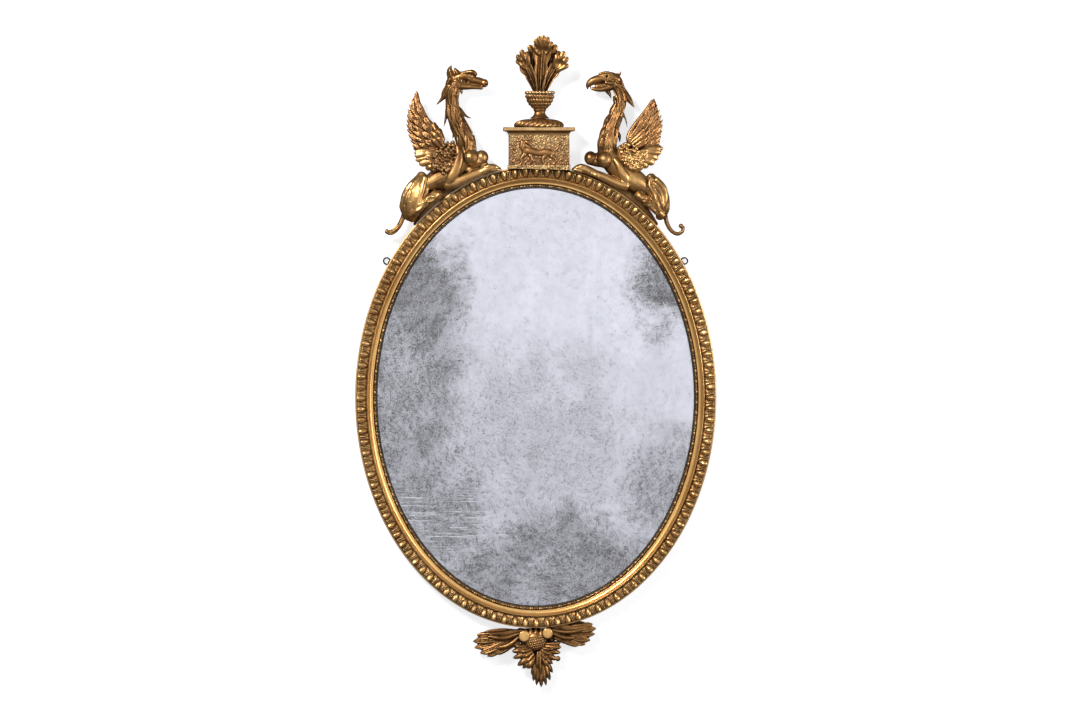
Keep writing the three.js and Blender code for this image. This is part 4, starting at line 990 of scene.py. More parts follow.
def acanthus(c, keys, lobes, seed, smooth_side):
    """A leaf along keys of (px, py, z, half width): a rib, two hollows and edges cut into lobes.

    smooth_side is 1 or -1 for a side whose edge another leaf covers, and is left uncut.
    """
    steps, depth, thick, cut_from, tip_from = 48, 6.0, 2.2, 0.45, 0.82
    line = spline(keyed(keys), steps)
    centre = line[:, :3]
    across, up = axes(centre, FORWARD)
    v = np.linspace(-1, 1, 41)
    phase = random.Random(seed).random()
    rib = 0.6 * depth * hump(v, 0.11)
    bend = 0.35 * depth * np.abs(v) ** 3 - depth * hump(np.abs(v) - 0.40, 0.24)
    body = thick * (1 - 0.75 * v**2) + 0.3
    loops = []
    for i, s in enumerate(np.linspace(0, 1, steps + 1)):
        notch = 0.78 + 0.22 * math.sin(math.pi * ((s * lobes + phase) % 1)) if s > cut_from else 1.0
        half = line[i, 3] * notch
        if s > tip_from:
            half *= 0.25 + 0.75 * math.sqrt(max(0.0, 1 - ((s - tip_from) / (1 - tip_from)) ** 2.2))
        rise = bend * min(1.0, 5 * s) * min(1.0, 1.35 - s) + rib
        reach = np.where(v * smooth_side > 0, v * half / notch, v * half)
        place = centre[i] + np.outer(reach, across[i])
        top, under = place + np.outer(rise + body, up[i]), place + np.outer(rise - body, up[i])
        loops.append(np.concatenate([top, under[::-1]]))
    c.rings(np.array(loops))


def plume_leaf(name, node, keys, lobes, tips, seed, dents, smooth_side=0):
    """A leaf with a stalk, and a crown of rounded lobes at its tip."""
    c = Carving()
    acanthus(c, keys, lobes, seed, smooth_side)
    for root, tip, z0, z1, width in tips:
        c.feather(root, tip, z0, z1, width, 4.2, point=0.72, end=LOBED, section=FLESHY)
    obj = c.bake(name, gilt_plume, 1.0)
    for d in dents:
        dent(obj, *d)
    finish(obj, "gilt_carving", node)


MID = CREST_MIDDLE
plume_leaf(
    "leaf_centre", "plume_leaf_centre",
    [
        (539.3, 96, MID + 6, 8), (540, 82, MID + 7, 13), (540.6, 68, MID + 9, 18),
        (541.4, 54, MID + 14, 23), (542, 43, MID + 20, 24),
    ], 3.4,
    [((538.6, 56), (532.4, 46.5), MID + 12, MID + 20, 14),
     ((539.5, 53), (534.2, 40.8), MID + 14, MID + 25, 14),
     ((541, 52), (537.8, 38), MID + 16, MID + 28, 14), ((542.4, 52), (542.4, 37.2), MID + 16, MID + 29, 14),
     ((543.6, 53), (547.4, 38.6), MID + 15, MID + 27, 14),
     ((545, 55), (551.6, 43.4), MID + 13, MID + 22, 14)], 1,
    [(537.6, 51, 11, 4), (545, 51.6, 11, 4)],
)
plume_leaf(
    "leaf_left", "plume_leaf_left",
    [(537.4, 96, MID - 3, 6), (535.4, 82, MID - 2, 12), (532.8, 68, MID, 16), (530.4, 56, MID + 4, 16)], 3,
    [((532, 63), (525.6, 53), MID, MID + 6, 14), ((532.5, 60), (528.8, 46.4), MID + 3, MID + 13, 15),
     ((534, 60), (533.4, 47.5), MID + 3, MID + 11, 13)], 2,
    [(530.4, 57, 10, 4)],
)
plume_leaf(
    "leaf_right", "plume_leaf_right",
    [(541.4, 96, MID - 3, 6), (544.4, 82, MID - 2, 12), (548.6, 68, MID, 16), (552, 57, MID + 4, 16)], 3,
    [((549.5, 61), (550.4, 47), MID + 3, MID + 11, 14), ((551, 61), (555.3, 45.9), MID + 3, MID + 13, 15),
     ((552, 63), (559.2, 52.4), MID, MID + 7, 14)], 3,
    [(553.4, 57.6, 10, 4)],
)
plume_leaf(
    "leaf_outer_left", "plume_leaf_outer_left",
    [
        (536, 95, MID + 6, 6), (532.4, 84, MID + 8, 10), (527.4, 73, MID + 10, 15),
        (522, 64, MID + 15, 17),
    ], 3,
    [((527, 71), (515.6, 61.4), MID + 11, MID + 18, 14), ((525.5, 69), (516, 56.4), MID + 12, MID + 21, 14),
     ((526.5, 67), (520.4, 51.3), MID + 13, MID + 22, 15),
     ((528.4, 67), (526, 54), MID + 12, MID + 19, 14)], 4,
    [(523, 65, 13, 4)], 1,
)
plume_leaf(
    "leaf_outer_right", "plume_leaf_outer_right",
    [
        (542.6, 95, MID + 6, 6), (546.8, 84, MID + 8, 10), (552.8, 73, MID + 10, 15),
        (558.8, 65.4, MID + 15, 17),
    ], 3,
    [((553, 69), (557, 55.4), MID + 12, MID + 19, 14), ((554.6, 69), (563.8, 53), MID + 13, MID + 22, 15),
     ((555.4, 71), (567.4, 58.8), MID + 12, MID + 21, 14),
     ((555.6, 72.6), (567.6, 66), MID + 11, MID + 18, 14)], 5,
    [(558.6, 65, 13, 4)], -1,
)

# ---- The winged beasts -------------------------------------------------------------------


def toes(c, tips, joints):
    """Toes side by side, each from joints (px, py, z, drop, half width, half depth) off its tip.

    drop is how much lower that joint lies on each toe than on the one before.
    """
    for k, (px, py) in enumerate(tips):
        c.limb([(px + dx, py + dy, z - drop * k, *half) for dx, dy, z, drop, *half in joints], 8)


def ground(c, start, end):
    """The carved ground under a beast, along the top of the frame."""
    rings = []
    for share in np.linspace(0, 1, 25):
        angle = math.radians(start + (end - start) * share)
        rise = 24 * math.sin(math.pi * (0.08 + 0.84 * share))
        ring = [(-0.5, BACK), (-0.5, 13), (-0.6 * rise, 12), (-rise, 10), (-rise, BACK)]
        rings.append([oval_points(angle, inset, z) for inset, z in ring])
    c.rings(np.array(rings))


def left_torso(c):
    """Body and chest, on the carved ground."""
    ground(c, 132, 103)
    torso = [
        (417.3, 193, 30, 18, 17), (427, 186, 32, 21, 21), (436, 181, 33, 26.5, 25),
        (445, 176, 32, 29, 26), (456.9, 164.1, 32, 31, 24), (466, 154.9, 32, 25, 20),
        (467.7, 146, 32, 22, 17),
    ]
    c.limb(torso, 24)
    # chest: two full lobes
    c.ball(470.6, 158, 42, (22, 21.5, 20))
    c.ball(474, 164, 36, (20, 15, 14))
    c.ball(481.6, 165, 33, (18, 10, 11))
    c.ball(470, 170, 33, (18, 11, 12))
    c.ball(481.6, 157.6, 36, (17, 17.5, 16))
    c.ball(477, 158.6, 35, (16, 17, 15))
    c.limb([(462, 160, 36, 14, 14), (472, 162, 40, 14, 14), (484, 160.5, 34, 10, 12)])


def left_haunch(c):
    """Haunch, its fur, and the hind leg folded under it."""
    haunch = [
        (422, 175.6, 32, 12, 12), (419.5, 186, 36, 27, 24), (413.8, 199.7, 38, 32, 26),
        (410.6, 211, 37, 24, 20), (413, 219, 36, 10, 12),
    ]
    c.limb(haunch, 22)
    c.locks(haunch, 15, 62, 12, 3.6, 0.12, 1.1, 3, 0.4, 0.05, 0.82)
    c.limb([
        (425.5, 178, 50, 7, 6), (422.5, 190, 58, 7, 5), (418.5, 203, 60, 6, 5), (413.5, 211, 56, 5, 5),
    ], 16)
    c.limb([
        (410.5, 214.5, 46, 12, 12), (419.5, 208, 52, 11, 12), (428, 199.5, 53, 10, 12),
        (435.5, 194.8, 51, 11, 12), (440, 193.6, 48, 6, 8),
    ], 18)
    foot = [(414, 212, 52, 9, 10), (424, 203.5, 55, 9, 10), (432, 197, 55, 9, 10), (439, 194, 51, 6, 7)]
    c.locks(foot, 14, 16, 6, 2.6, 0.2, 1.0, 5, 1.0)
    joints = [(-4, 1.2, 52, 1, 4.5, 5), (0, 0, 50, 1, 4.5, 5), (1.8, 0.4, 47, 1, 3, 3.5)]
    toes(c, [(439.2, 191.8), (440.6, 194.6), (439, 197.2)], joints)


def left_foreleg(c):
    """Shoulder crescent, elbow, forearm and paw."""
    c.limb([
        (457, 147, 53, 7, 5), (458.8, 153, 57, 10, 6), (458.4, 161, 59, 12, 6.5),
        (455.6, 170, 58, 13, 8), (451, 178.5, 54, 14, 11), (447.6, 184.6, 50, 12, 10),
    ], 20)
    c.limb([
        (447, 185.4, 49, 13, 12), (455, 183.4, 50, 12.5, 11), (464, 179.2, 48, 12, 11),
        (474, 175, 46, 11, 10), (481, 172, 45, 10, 9),
    ], 18)
    c.limb([
        (479, 173.8, 45, 9.5, 9), (486, 170, 46, 11, 11), (492.5, 168.4, 45, 11, 11),
        (498.8, 169.6, 42, 6, 8),
    ], 14)
    joints = [(-7, 1.6, 51, 0, 4, 5), (-2, 0.4, 52, 1, 4.5, 5.5), (2, 1.0, 48, 1, 3.4, 4.5)]
    toes(c, [(491.6, 166.2), (496, 167), (498.4, 169.4)], joints)


def left_neck(c):
    """Neck with its flame locks, running down from the head."""
    neck = [
        (457, 82.5, 34, 14, 12), (453.3, 91, 34, 12.5, 12), (452.6, 102.8, 33, 11.5, 12),
        (455, 117.4, 33, 14.5, 13), (459.5, 127, 33, 17, 15), (465.4, 138, 33, 20, 17),
        (467.8, 149, 32, 22, 16), (469.4, 159, 29, 15, 8),
    ]
    c.limb(neck, 30)
    c.locks(neck, 34, 66, 12, 6.6, 0.3, 1.5, 11, 3.0, 0.0, 0.92)
    c.spike(
        (449, 87, 33, 8, 6), (445, 93.5, 32, 9, 5), (443, 99, 32, 6.5, 4.5),
        (436.6, 105.6, 31, 1.4, 1.4),
    )
    c.spike(
        (449.4, 103, 32, 6, 5), (447, 112, 31, 5, 4), (445.6, 121, 30, 3.4, 3),
        (443.9, 127.4, 30, 0.9, 1),
    )
    c.spike((455.5, 126, 32, 7, 5), (454.4, 133, 31, 6, 4), (452.6, 139.4, 30, 1, 1))
    c.spike(
        (456.5, 106.5, 34, 6, 5), (461.8, 112, 35, 4.6, 4), (467, 117.4, 36, 3, 3),
        (472.6, 119, 36, 1, 1),
    )
    c.spike((459, 89, 36, 6, 5), (461.6, 92.6, 37, 4, 4), (461.6, 95.6, 37, 1, 1))
    c.spike((450, 80, 33, 7, 6), (447.4, 86, 32, 6, 5), (446.4, 90.6, 32, 1.4, 1.4))


def left_head(c):
    """A heavy brow, a leaf-shaped ear and a closed, bulbous bill."""
    c.limb([
        (454, 81, 33, 11, 11), (459.4, 78.4, 35, 13, 13), (465.6, 77.4, 36, 12.5, 13),
        (471.6, 78, 37, 10, 12),
    ], 14)
    c.limb([
        (461.5, 74.6, 41, 4, 5), (467.4, 73.6, 45, 5.4, 6), (472.6, 73.4, 47, 6, 7),
        (475.8, 75.8, 45, 5, 6),
    ], 12)
    c.ball(470.4, 77.2, 46, (3.6, 3.2, 4), 12)
    c.limb([(465.6, 78.6, 45, 2, 3), (470, 80.6, 46.5, 2.4, 3), (474.6, 79.2, 45, 2, 3)], 8)
    c.ball(461, 85, 37, (10.5, 9.5, 10))
    c.limb([
        (470, 81.4, 37, 8.5, 11), (475.6, 81.4, 38, 9, 10.5), (480.6, 82.6, 38, 9.4, 10),
        (485.4, 84.8, 37, 8.4, 9),
    ], 14)
    c.ball(484.4, 84.2, 39, (10, 10.5, 10.5))
    c.limb([
        (457, 87, 35, 10, 10), (466, 88, 37, 7, 9), (474, 88.2, 38, 5.4, 8), (481.6, 89, 38, 4.4, 6.5),
    ], 14)
    c.limb([(462, 84.6, 34, 8, 8), (472, 85.4, 35, 7, 8), (481, 86.6, 34, 6, 7)], 8)
    for k in range(4):
        c.limb([
            (458.4 + 3 * k, 80.6 + k, 46 - k, 1.6, 3), (460.6 + 3 * k, 83.2 + k, 46.4 - k, 2.0, 3),
            (463.6 + 3 * k, 84.2 + k, 45 - k, 1.2, 2),
        ], 6)
    c.spike(
        (457.6, 83, 34, 15, 9), (452.2, 77.4, 34, 13.5, 8), (450, 71.6, 34, 8.5, 6),
        (451.7, 66.4, 34, 1.6, 1.4),
    )
    c.spike((459.6, 76.6, 35, 9, 7), (456.4, 72.6, 35, 7, 5), (454.9, 68.6, 35, 1.6, 1.4))


def left_tail(c):
    c.limb([
        (406, 206, 32, 6.5, 7), (404.5, 213.5, 32, 6.2, 7), (401.4, 222, 32, 6.2, 7),
        (397.2, 228.4, 32, 6.6, 7), (391.4, 232.4, 32, 7, 7), (386.6, 231.4, 32, 5, 6),
    ], 24)
    tail = [
        (404.5, 212, 32, 6.2, 7), (401.4, 222, 32, 6.2, 7), (397.2, 228.4, 32, 6.6, 7),
        (391.4, 232.4, 32, 7, 7), (386.2, 230.6, 32, 5, 6),
    ]
    c.locks(tail, 9, 26, 4.4, 2.0, 0.1, 1.0, 8, 0.6)


def beast(name, side, parts, *dents):
    """One beast without its wings, from the functions of its parts."""
    c = Carving()
    for part in parts:
        part(c)
    obj = c.bake(name, gilt_carving, 1.25)
    for d in dents:
        dent(obj, *d)
    seat_on_oval(obj)
    members = ("body", "hind_leg", "foreleg", "head_and_neck", "tail")
    finish(obj, "gilt_carving", *[f"beast_{side}_{m}" for m in members])


beast(
    "winged_beast_left", "left",
    (left_torso, left_haunch, left_foreleg, left_neck, left_head, left_tail),
    (486, 85.6, 3.4, 6), (470.4, 77.2, 1.5, 2.5), (476, 77.8, 4, 2.5),
)


def right_torso(c):
    """Body and chest, on the carved ground."""
    ground(c, 48, 78)
    torso = [
        (653.3, 195, 30, 18, 17), (645, 188.4, 32, 21, 21), (636, 181.8, 33, 26.5, 25),
        (627, 176, 32, 30, 26), (616.9, 166.1, 32, 31, 24), (608, 155.7, 32, 26, 20),
        (607, 146, 32, 20, 17),
    ]
    c.limb(torso, 24)
    # chest: a large lobe, a small one between, and the far one
    c.ball(603.8, 160.2, 44, (21.5, 21, 20))
    c.ball(596.6, 159.6, 35, (15, 17, 15))
    c.ball(589.8, 158.4, 37, (16, 17.5, 16))
    c.limb([(612, 160, 36, 14, 14), (600, 162, 38, 14, 14), (588, 161.5, 32, 9, 11)])


def right_haunch(c):
    """Haunch, its fur, and the hind leg folded under it."""
    haunch = [
        (650, 177.4, 32, 12, 12), (653.6, 187, 36, 25, 23), (657.6, 199.7, 38, 28, 25),
        (660.4, 210, 37, 20, 19), (658.6, 217, 36, 10, 12),
    ]
    c.limb(haunch, 22)
    c.limb([
        (650.4, 178.6, 52, 6, 5), (648.4, 184.6, 57, 5.5, 5), (651, 191, 60, 5, 5),
        (653.4, 198, 61, 4, 4), (652, 203, 59, 3, 3),
    ], 14)
    c.limb([(655, 180, 54, 8, 6), (662, 188, 56, 8, 6), (664, 199, 55, 7, 6), (661, 209, 52, 6, 6)], 16)
    c.locks(haunch, 9, 50, 11, 3.0, -0.1, 0.9, 23, 0.4, 0.1, 0.86)
    c.limb([
        (661.5, 215.5, 46, 11, 12), (653, 208, 52, 11, 12), (645.4, 201, 53, 10, 12),
        (639, 196.6, 52, 11, 12), (635, 195, 49, 6, 8),
    ], 18)
    foot = [
        (659, 213, 52, 9, 10), (650, 205.5, 55, 9, 10), (643, 199.6, 55, 9, 10),
        (636.5, 195.4, 52, 6, 7),
    ]
    c.locks(foot, 14, 16, 6, 2.6, -0.2, 1.0, 25, 1.0)
    joints = [(4, 1.4, 53, 1, 4.5, 5), (0, 0, 51, 1, 4.5, 5), (-1.6, 0.6, 48, 1, 3, 3.5)]
    toes(c, [(636.4, 193.4), (635, 196.2), (636.8, 198.8)], joints)


def right_foreleg(c):
    """Elbow, forearm with its fringe, and claw."""
    c.limb([
        (613.6, 160, 52, 6, 6), (617.6, 165.6, 56, 9, 7), (620.4, 172, 56, 11, 8),
        (624.4, 178, 54, 12, 9), (624.6, 184.4, 50, 11, 9),
    ], 18)
    c.limb([
        (625.4, 186, 49, 11.5, 12), (617, 183.6, 50, 11.5, 11), (608, 179.6, 48, 11, 11),
        (600, 176, 47, 10, 10), (592, 173, 46, 9, 9),
    ], 18)
    c.limb([
        (594, 173.6, 46, 9.5, 9), (586, 170, 46, 11, 11), (579, 168.4, 45, 10.5, 11),
        (572.6, 170, 42, 5, 8),
    ], 14)
    joints = [(7, 1.8, 51, 0, 4, 5), (2, 0.4, 52, 1, 4.5, 5.5), (-1.8, 1.0, 48, 1, 3.2, 4.5)]
    toes(c, [(578.6, 166.2), (575, 167.6), (573.2, 169.8)], joints)
    for k in range(5):
        c.limb([
            (584 + 3.4 * k, 170.4 + 1.6 * k, 54, 3.4, 3), (586.4 + 3.4 * k, 172.6 + 1.3 * k, 53, 2, 2),
        ], 5)


def right_neck(c):
    """Neck with its flame locks and the free ones at both edges."""
    neck = [
        (612.8, 82.5, 34, 13, 12), (617, 91, 34, 10.5, 12), (619.6, 102.8, 33, 9, 12),
        (617.2, 113, 33, 11, 13), (612.4, 124, 33, 13.5, 14), (608.4, 136.5, 33, 17, 16),
        (606.2, 149, 32, 21, 16), (604.4, 160, 29, 15, 8),
    ]
    c.limb(neck, 30)
    c.locks(neck, 32, 66, 11, 5.4, -0.28, 1.45, 31, 2.0, 0.0, 0.94)
    c.spike(
        (619, 87, 33, 8, 6), (625, 95.6, 32, 9.5, 5), (629, 101.4, 32, 8, 4.5),
        (633.6, 108, 31, 1.2, 1.4),
    )
    c.spike(
        (620.6, 104, 32, 6, 5), (622, 113, 31, 4, 4), (625, 120.4, 30, 2.4, 2.6),
        (626.4, 127.4, 30, 0.9, 1),
    )
    c.spike((613, 131, 33, 8, 6), (618.4, 136, 32, 5.5, 5), (618.9, 142.4, 31, 1.4, 1.6))
    c.spike((616, 104, 33, 8, 6), (610.8, 110.4, 33, 6, 5), (608.2, 115, 33, 1.4, 1.4))
    c.spike((614, 114, 33, 11, 8), (606.4, 120.6, 33, 8, 6), (602.2, 127, 33, 1.6, 1.6))
    c.spike((610, 124, 33, 12, 9), (602.4, 131.4, 33, 8, 6), (598.4, 138, 33, 1.8, 1.8))
    c.spike((606, 134, 33, 12, 9), (600, 141.4, 33, 9, 7), (597.4, 148, 33, 3, 3))
    c.spike((606.6, 91.6, 36, 7, 5), (609, 95.6, 36, 4, 4), (610.2, 99.3, 36, 1, 1))
    c.spike((614.4, 97, 34, 6, 5), (613.4, 102, 34, 3.6, 4), (614.8, 104.8, 34, 1, 1))
    for k in range(5):
        c.spike(
            (618 + 1.1 * k, 79 + 3.2 * k, 33, 4.5, 5), (620.6 + 1.1 * k, 80.4 + 3.4 * k, 33, 2.6, 3),
            (622.2 + 1.2 * k, 83 + 3.4 * k, 33, 0.8, 1),
        )


def right_head(c):
    """An eagle's head, with an open hooked beak."""
    c.limb([
        (617, 81, 34, 11, 11), (611.6, 78.4, 35, 13, 13), (604.6, 77.8, 36, 12.5, 13),
        (598, 79.4, 37, 9.5, 11),
    ], 14)
    c.limb([
        (602, 79, 37, 10, 12), (595.6, 80.6, 38, 10.5, 11), (590.6, 82.8, 38, 9.5, 9.5),
        (587.2, 86, 37, 6, 7), (586.7, 90, 36, 1.4, 2),
    ], 16)
    c.limb([
        (613, 86.4, 35, 11, 11), (606, 89, 37, 8, 9), (599, 90.4, 38, 6, 7.5),
        (592.6, 89.8, 38, 4.4, 5.5), (590, 88.6, 37, 2.6, 4),
    ], 14)
    c.limb([(611, 85, 34, 9, 8), (603, 86.2, 35, 7, 7.5), (595.5, 87, 34, 5, 7)], 10)
    c.limb([(614, 84, 43, 7, 6), (608.6, 84.4, 45, 4.6, 5), (604.4, 83.6, 44, 2.4, 4)], 8)
    for k in range(3):
        c.limb([
            (598.6 + 2.2 * k, 75.2 - 0.7 * k, 43, 3, 4), (600.4 + 2.2 * k, 74.2 - 0.5 * k, 45, 3, 4),
            (602.4 + 2.2 * k, 74.6 - 0.4 * k, 44, 2, 3),
        ], 6)
    c.limb([(601.5, 79.6, 45, 2.6, 3.4), (605, 81.6, 46, 3, 3.4), (609.6, 80.4, 45, 2.4, 3.4)], 8)
    c.limb([(602, 74.6, 44, 3.4, 4), (607, 73.8, 45, 4, 4), (612, 76.2, 43, 3, 4)], 8)
    c.spike((613, 76.4, 34, 6, 6), (618.6, 75.4, 33, 4.5, 4), (620.6, 71.4, 33, 0.9, 1))


def right_tail(c):
    c.limb([
        (664, 206, 32, 5, 6), (664.6, 214, 32, 5, 6.5), (665.8, 222, 32, 5.4, 6), (670, 230, 32, 5, 6),
        (676, 233.8, 32, 4.8, 5), (681.4, 231.6, 32, 4.6, 5), (682.4, 227, 32, 4.4, 5),
    ], 26)
    c.ball(680.2, 225.8, 32, (6, 6, 6), 12)


beast(
    "winged_beast_right", "right",
    (right_torso, right_haunch, right_foreleg, right_neck, right_head, right_tail),
    (605.8, 77.6, 4.6, 7), (590, 83.2, 1.8, 2), (651.4, 187, 3.5, 2.5),
)


def wing(part, side, build, material):
    c = Carving()
    build(c)
    obj = seat_on_oval(c.bake(f"{part}_wing_{side}", material, 1.1, factor=0.4))
    finish(obj, "gilt_carving", f"beast_{side}_{part}_wing")


def curls(c, outline, seed):
    """Small curled feathers scattered over an outline of pixels."""
    rng = random.Random(seed)
    centre = np.mean(outline, axis=0)
    edges = [np.array(p) for p in outline]
    count, most_tries, pitch, z, size = 70, 4000, 3.0, 58, 6.6
    placed = []
    tries = 0
    while len(placed) < count and tries < most_tries:
        tries += 1
        i = rng.randrange(len(edges))
        a, b = edges[i], edges[(i + 1) % len(edges)]
        u, v = rng.random(), rng.random() ** 0.5
        p = centre + (a + (b - a) * u - centre) * v
        if all(np.hypot(*(p - q)) > pitch for q in placed):
            placed.append(p)
    for p in placed:
        turn = rng.uniform(0, math.tau)
        way = np.array([math.cos(turn), math.sin(turn)])
        side = np.array([-way[1], way[0]])
        h = z + rng.uniform(-1.5, 1.5)
        c.limb([
            (*(p - 1.2 * way), h, size * 0.55, 4), (*(p + 0.5 * side), h + 2.6, size * 0.72, 4.4),
            (*(p + 1.2 * way), h + 1, size * 0.42, 3.4),
        ], 5)


def left_upper(c):
    c.limb([
        (447, 163, 32, 12, 7), (438, 153, 34, 18, 6), (431.5, 143, 34, 27, 4.5),
        (425.4, 131, 34, 28, 4), (417.4, 116, 34, 18, 3.5), (416, 103, 34, 9, 3), (416.8, 95, 35, 3, 2),
    ], 24)
    c.fan(
        [(437, 151), (433, 143), (430, 132), (424, 122)],
        [(413.4, 149), (407.2, 130), (408, 110), (417, 91.6)],
        13, 39, 38, 14, 6.0, 0.05, step=2.0,
    )
    c.fan(
        [(439, 150), (436, 141), (433, 131), (428, 121)],
        [(420.6, 149), (413.6, 134), (413, 118), (419.4, 103)],
        9, 45, 44, 14, 6.4, 0.06, step=1.6,
    )
    c.fan(
        [(441.4, 149), (440.6, 141), (438.6, 132)],
        [(429, 148), (422.6, 133), (424.6, 118)],
        5, 51, 51, 17, 7.0, 0.08, end=BROAD,
    )
    c.fan(
        [(443, 149), (443.6, 143)],
        [(432, 138), (433.4, 124)],
        3, 55, 54, 19, 8, 0.06, end=BROAD, section=FLESHY,
    )
    c.fan(
        [(443.6, 147), (443.4, 142)],
        [(438.6, 136), (438.4, 129)],
        2, 58, 56, 17, 8, 0.04, end=BROAD, section=FLESHY,
    )
    c.limb([
        (440.6, 148, 52, 5.5, 6), (441.6, 140.6, 52, 6, 6), (440, 133, 50, 5, 5.4),
        (434.6, 124, 47, 3.4, 4),
    ], 14)


def left_lower(c):
    c.limb([
        (450, 147, 50, 14, 7), (448, 154, 52, 22, 9), (446.6, 165, 52, 24, 9), (443, 173, 50, 12, 7),
    ], 14)
    curls(c, [
        (444, 143.6), (453, 143.2), (456.4, 150), (456.4, 160), (453, 170), (444, 174), (436, 168),
        (434, 157), (439, 149),
    ], 5)
    c.fan(
        [(440, 153), (438.6, 160), (440, 168)],
        [(414.6, 153.4), (417.2, 163), (431, 172.4)],
        6, 50, 50, 18, 6.4, -0.05, end=BROAD, section=FLESHY, step=2.0,
    )
    c.fan(
        [(442, 155), (441, 161.5), (443, 168)],
        [(424, 155.4), (425.6, 163.4), (436, 171)],
        5, 54, 55.5, 15, 5, -0.05,
    )


def right_upper(c):
    c.limb([
        (624.6, 164, 32, 12, 7), (634, 153, 34, 18, 6), (640.4, 142, 34, 26, 4.5),
        (646, 130, 34, 31, 4), (651, 117, 34, 19, 3.5), (652.6, 106, 34, 9, 3), (652.7, 100, 35, 3, 2),
    ], 24)
    c.fan(
        [(632, 149), (637, 151), (644, 150)],
        [(653, 98.2), (661.6, 120), (658.4, 145)],
        11, 40, 39, 12, 6, -0.03, step=1.8,
    )
    c.fan(
        [(629, 142), (632.5, 148), (639, 150.4)],
        [(649, 105), (656.4, 123), (652.6, 144)],
        8, 45, 44, 10.5, 5.6, -0.04, step=1.4,
    )
    c.fan(
        [(628.8, 138), (630, 144), (634, 149)],
        [(642.6, 115.4), (648, 127), (646.6, 141)],
        6, 50, 49, 10, 5.4, -0.05, step=1.0,
    )
    c.limb([
        (632, 150, 49, 4.6, 5), (627.4, 142, 50, 5.4, 5.4), (628, 134.6, 49, 5.2, 5),
        (634, 124.6, 47, 4.6, 4.6), (643, 112.8, 44, 3.8, 4), (650.6, 101, 41, 2.2, 2.6),
    ], 22)


def right_lower(c):
    c.limb([(621, 147, 50, 14, 7), (625, 156, 52, 22, 9), (631, 164, 52, 22, 9), (636, 170, 50, 12, 7)], 14)
    curls(c, [
        (619.6, 145), (628, 143.4), (636, 150), (643, 155), (642, 164), (633, 172), (626, 167),
        (620, 158),
    ], 15)
    c.fan(
        [(637, 153), (638, 159), (634, 165)],
        [(661.6, 149), (653, 164), (633, 173.4)],
        7, 50, 51, 19, 6.6, 0.05, end=BROAD, section=FLESHY, step=2.0,
    )
    c.fan(
        [(634, 155), (634, 160), (630, 164)],
        [(648, 151.6), (643.6, 163), (629.6, 171)],
        5, 55, 56, 15, 5.6, 0.05, end=BROAD,
    )


wing("upper", "left", left_upper, gilt_wing)
wing("lower", "left", left_lower, gilt_carving)
wing("upper", "right", right_upper, gilt_wing)
wing("lower", "right", right_lower, gilt_carving)

# ---- The apron ---------------------------------------------------------------------------


def apron_piece(name, node, build, voxel=1.0, passes=1, material=gilt_carving):
    c = Carving()
    build(c)
    obj = seat_on_oval(c.bake(name, material, voxel, passes))
    finish(obj, "gilt_carving", node)
    return obj


def calyx(c):
    c.limb([
        (519, 633, 16, 12, 11), (527, 636, 16, 18, 12), (543, 636, 16, 18, 12), (552, 632, 16, 12, 11),
    ], 16)
    c.ball(535, 640.8, 31, (27.5, 23.5, 13), 28)
    for k, px in enumerate((530.4, 535.6, 541)):
        c.limb([(px, 638, 36, 4.5, 5), (px - 0.2, 633, 33, 5.5, 5), (px, 629.4, 26, 3, 4)], 8)
    for px, py, tx, ty in ((528.6, 637, 524.5, 629.4), (542.5, 635.5, 545.5, 628.8)):
        c.limb([
            (px, py, 34, 3.5, 4), ((px + tx) / 2, (py + ty) / 2 - 1, 33, 3.5, 4), (tx, ty, 26, 1.5, 3),
        ], 8)


def hatched(p):
    """Two sets of grooves cross the front of the half round."""
    x0, y0 = at(535, 640.6)
    x, y, z = p[:, 0] - x0, p[:, 1] - y0, p[:, 2]
    inside = np.clip(1.15 - (x / 27) ** 2 - (y / 23) ** 2, 0, 1) * (z > 31) * (y < 9)
    one_way = np.abs(np.sin((0.94 * x + 0.34 * y) * math.pi / 5.2)) ** 3
    other_way = np.abs(np.sin((0.20 * x - 0.98 * y) * math.pi / 6.0)) ** 3
    return z - 2.2 * np.maximum(one_way, other_way) * np.minimum(1, 3 * inside)


press(apron_piece("calyx", "apron_calyx", calyx, material=gilt_plinth), hatched)


def roundel(px, py, radius):
    """The carving function of a flat boss with a softened edge: rings of (share of radius, height)."""

    def build(c):
        x, y = at(px, py)
        profile = (0.82, 28.6), (1, 29.6), (1, 40), (0.965, 41.6), (0.9, 42.4), (0.5, 42.7), (0.02, 42.8)
        c.rings([
            [(x + r * radius * math.cos(u), y + r * radius * math.sin(u), z) for u in turns(40)]
            for r, z in profile
        ])

    return build


apron_piece("roundel_left", "apron_roundel_left", roundel(523.6, 635.9, 13.8), 1.2, 2, gilt_frame)
apron_piece("roundel_right", "apron_roundel_right", roundel(547.1, 633.0, 13.4), 1.2, 2, gilt_frame)


def leaf_left(c):
    c.limb([
        (522, 635, 17, 12, 6), (509, 638.6, 17, 25, 5), (497, 641, 17, 30, 5), (486, 642.4, 17, 28, 5),
        (478, 642.4, 17, 16, 4),
    ], 16)
    c.fan(
        [(519, 631.5), (518, 634), (519, 639)],
        [(476.5, 635), (472, 644), (478.6, 652.4), (488.4, 656.6), (500, 650.6), (511.6, 644.6)],
        8, 20, 25, 21, 9, 0.05, end=BLUNT, step=3.0,
    )
    c.fan(
        [(519, 633), (518, 637)],
        [(487, 636), (497, 648)],
        2, 30, 33, 13, 7.0, 0.10, end=BROAD, section=FLESHY,
    )


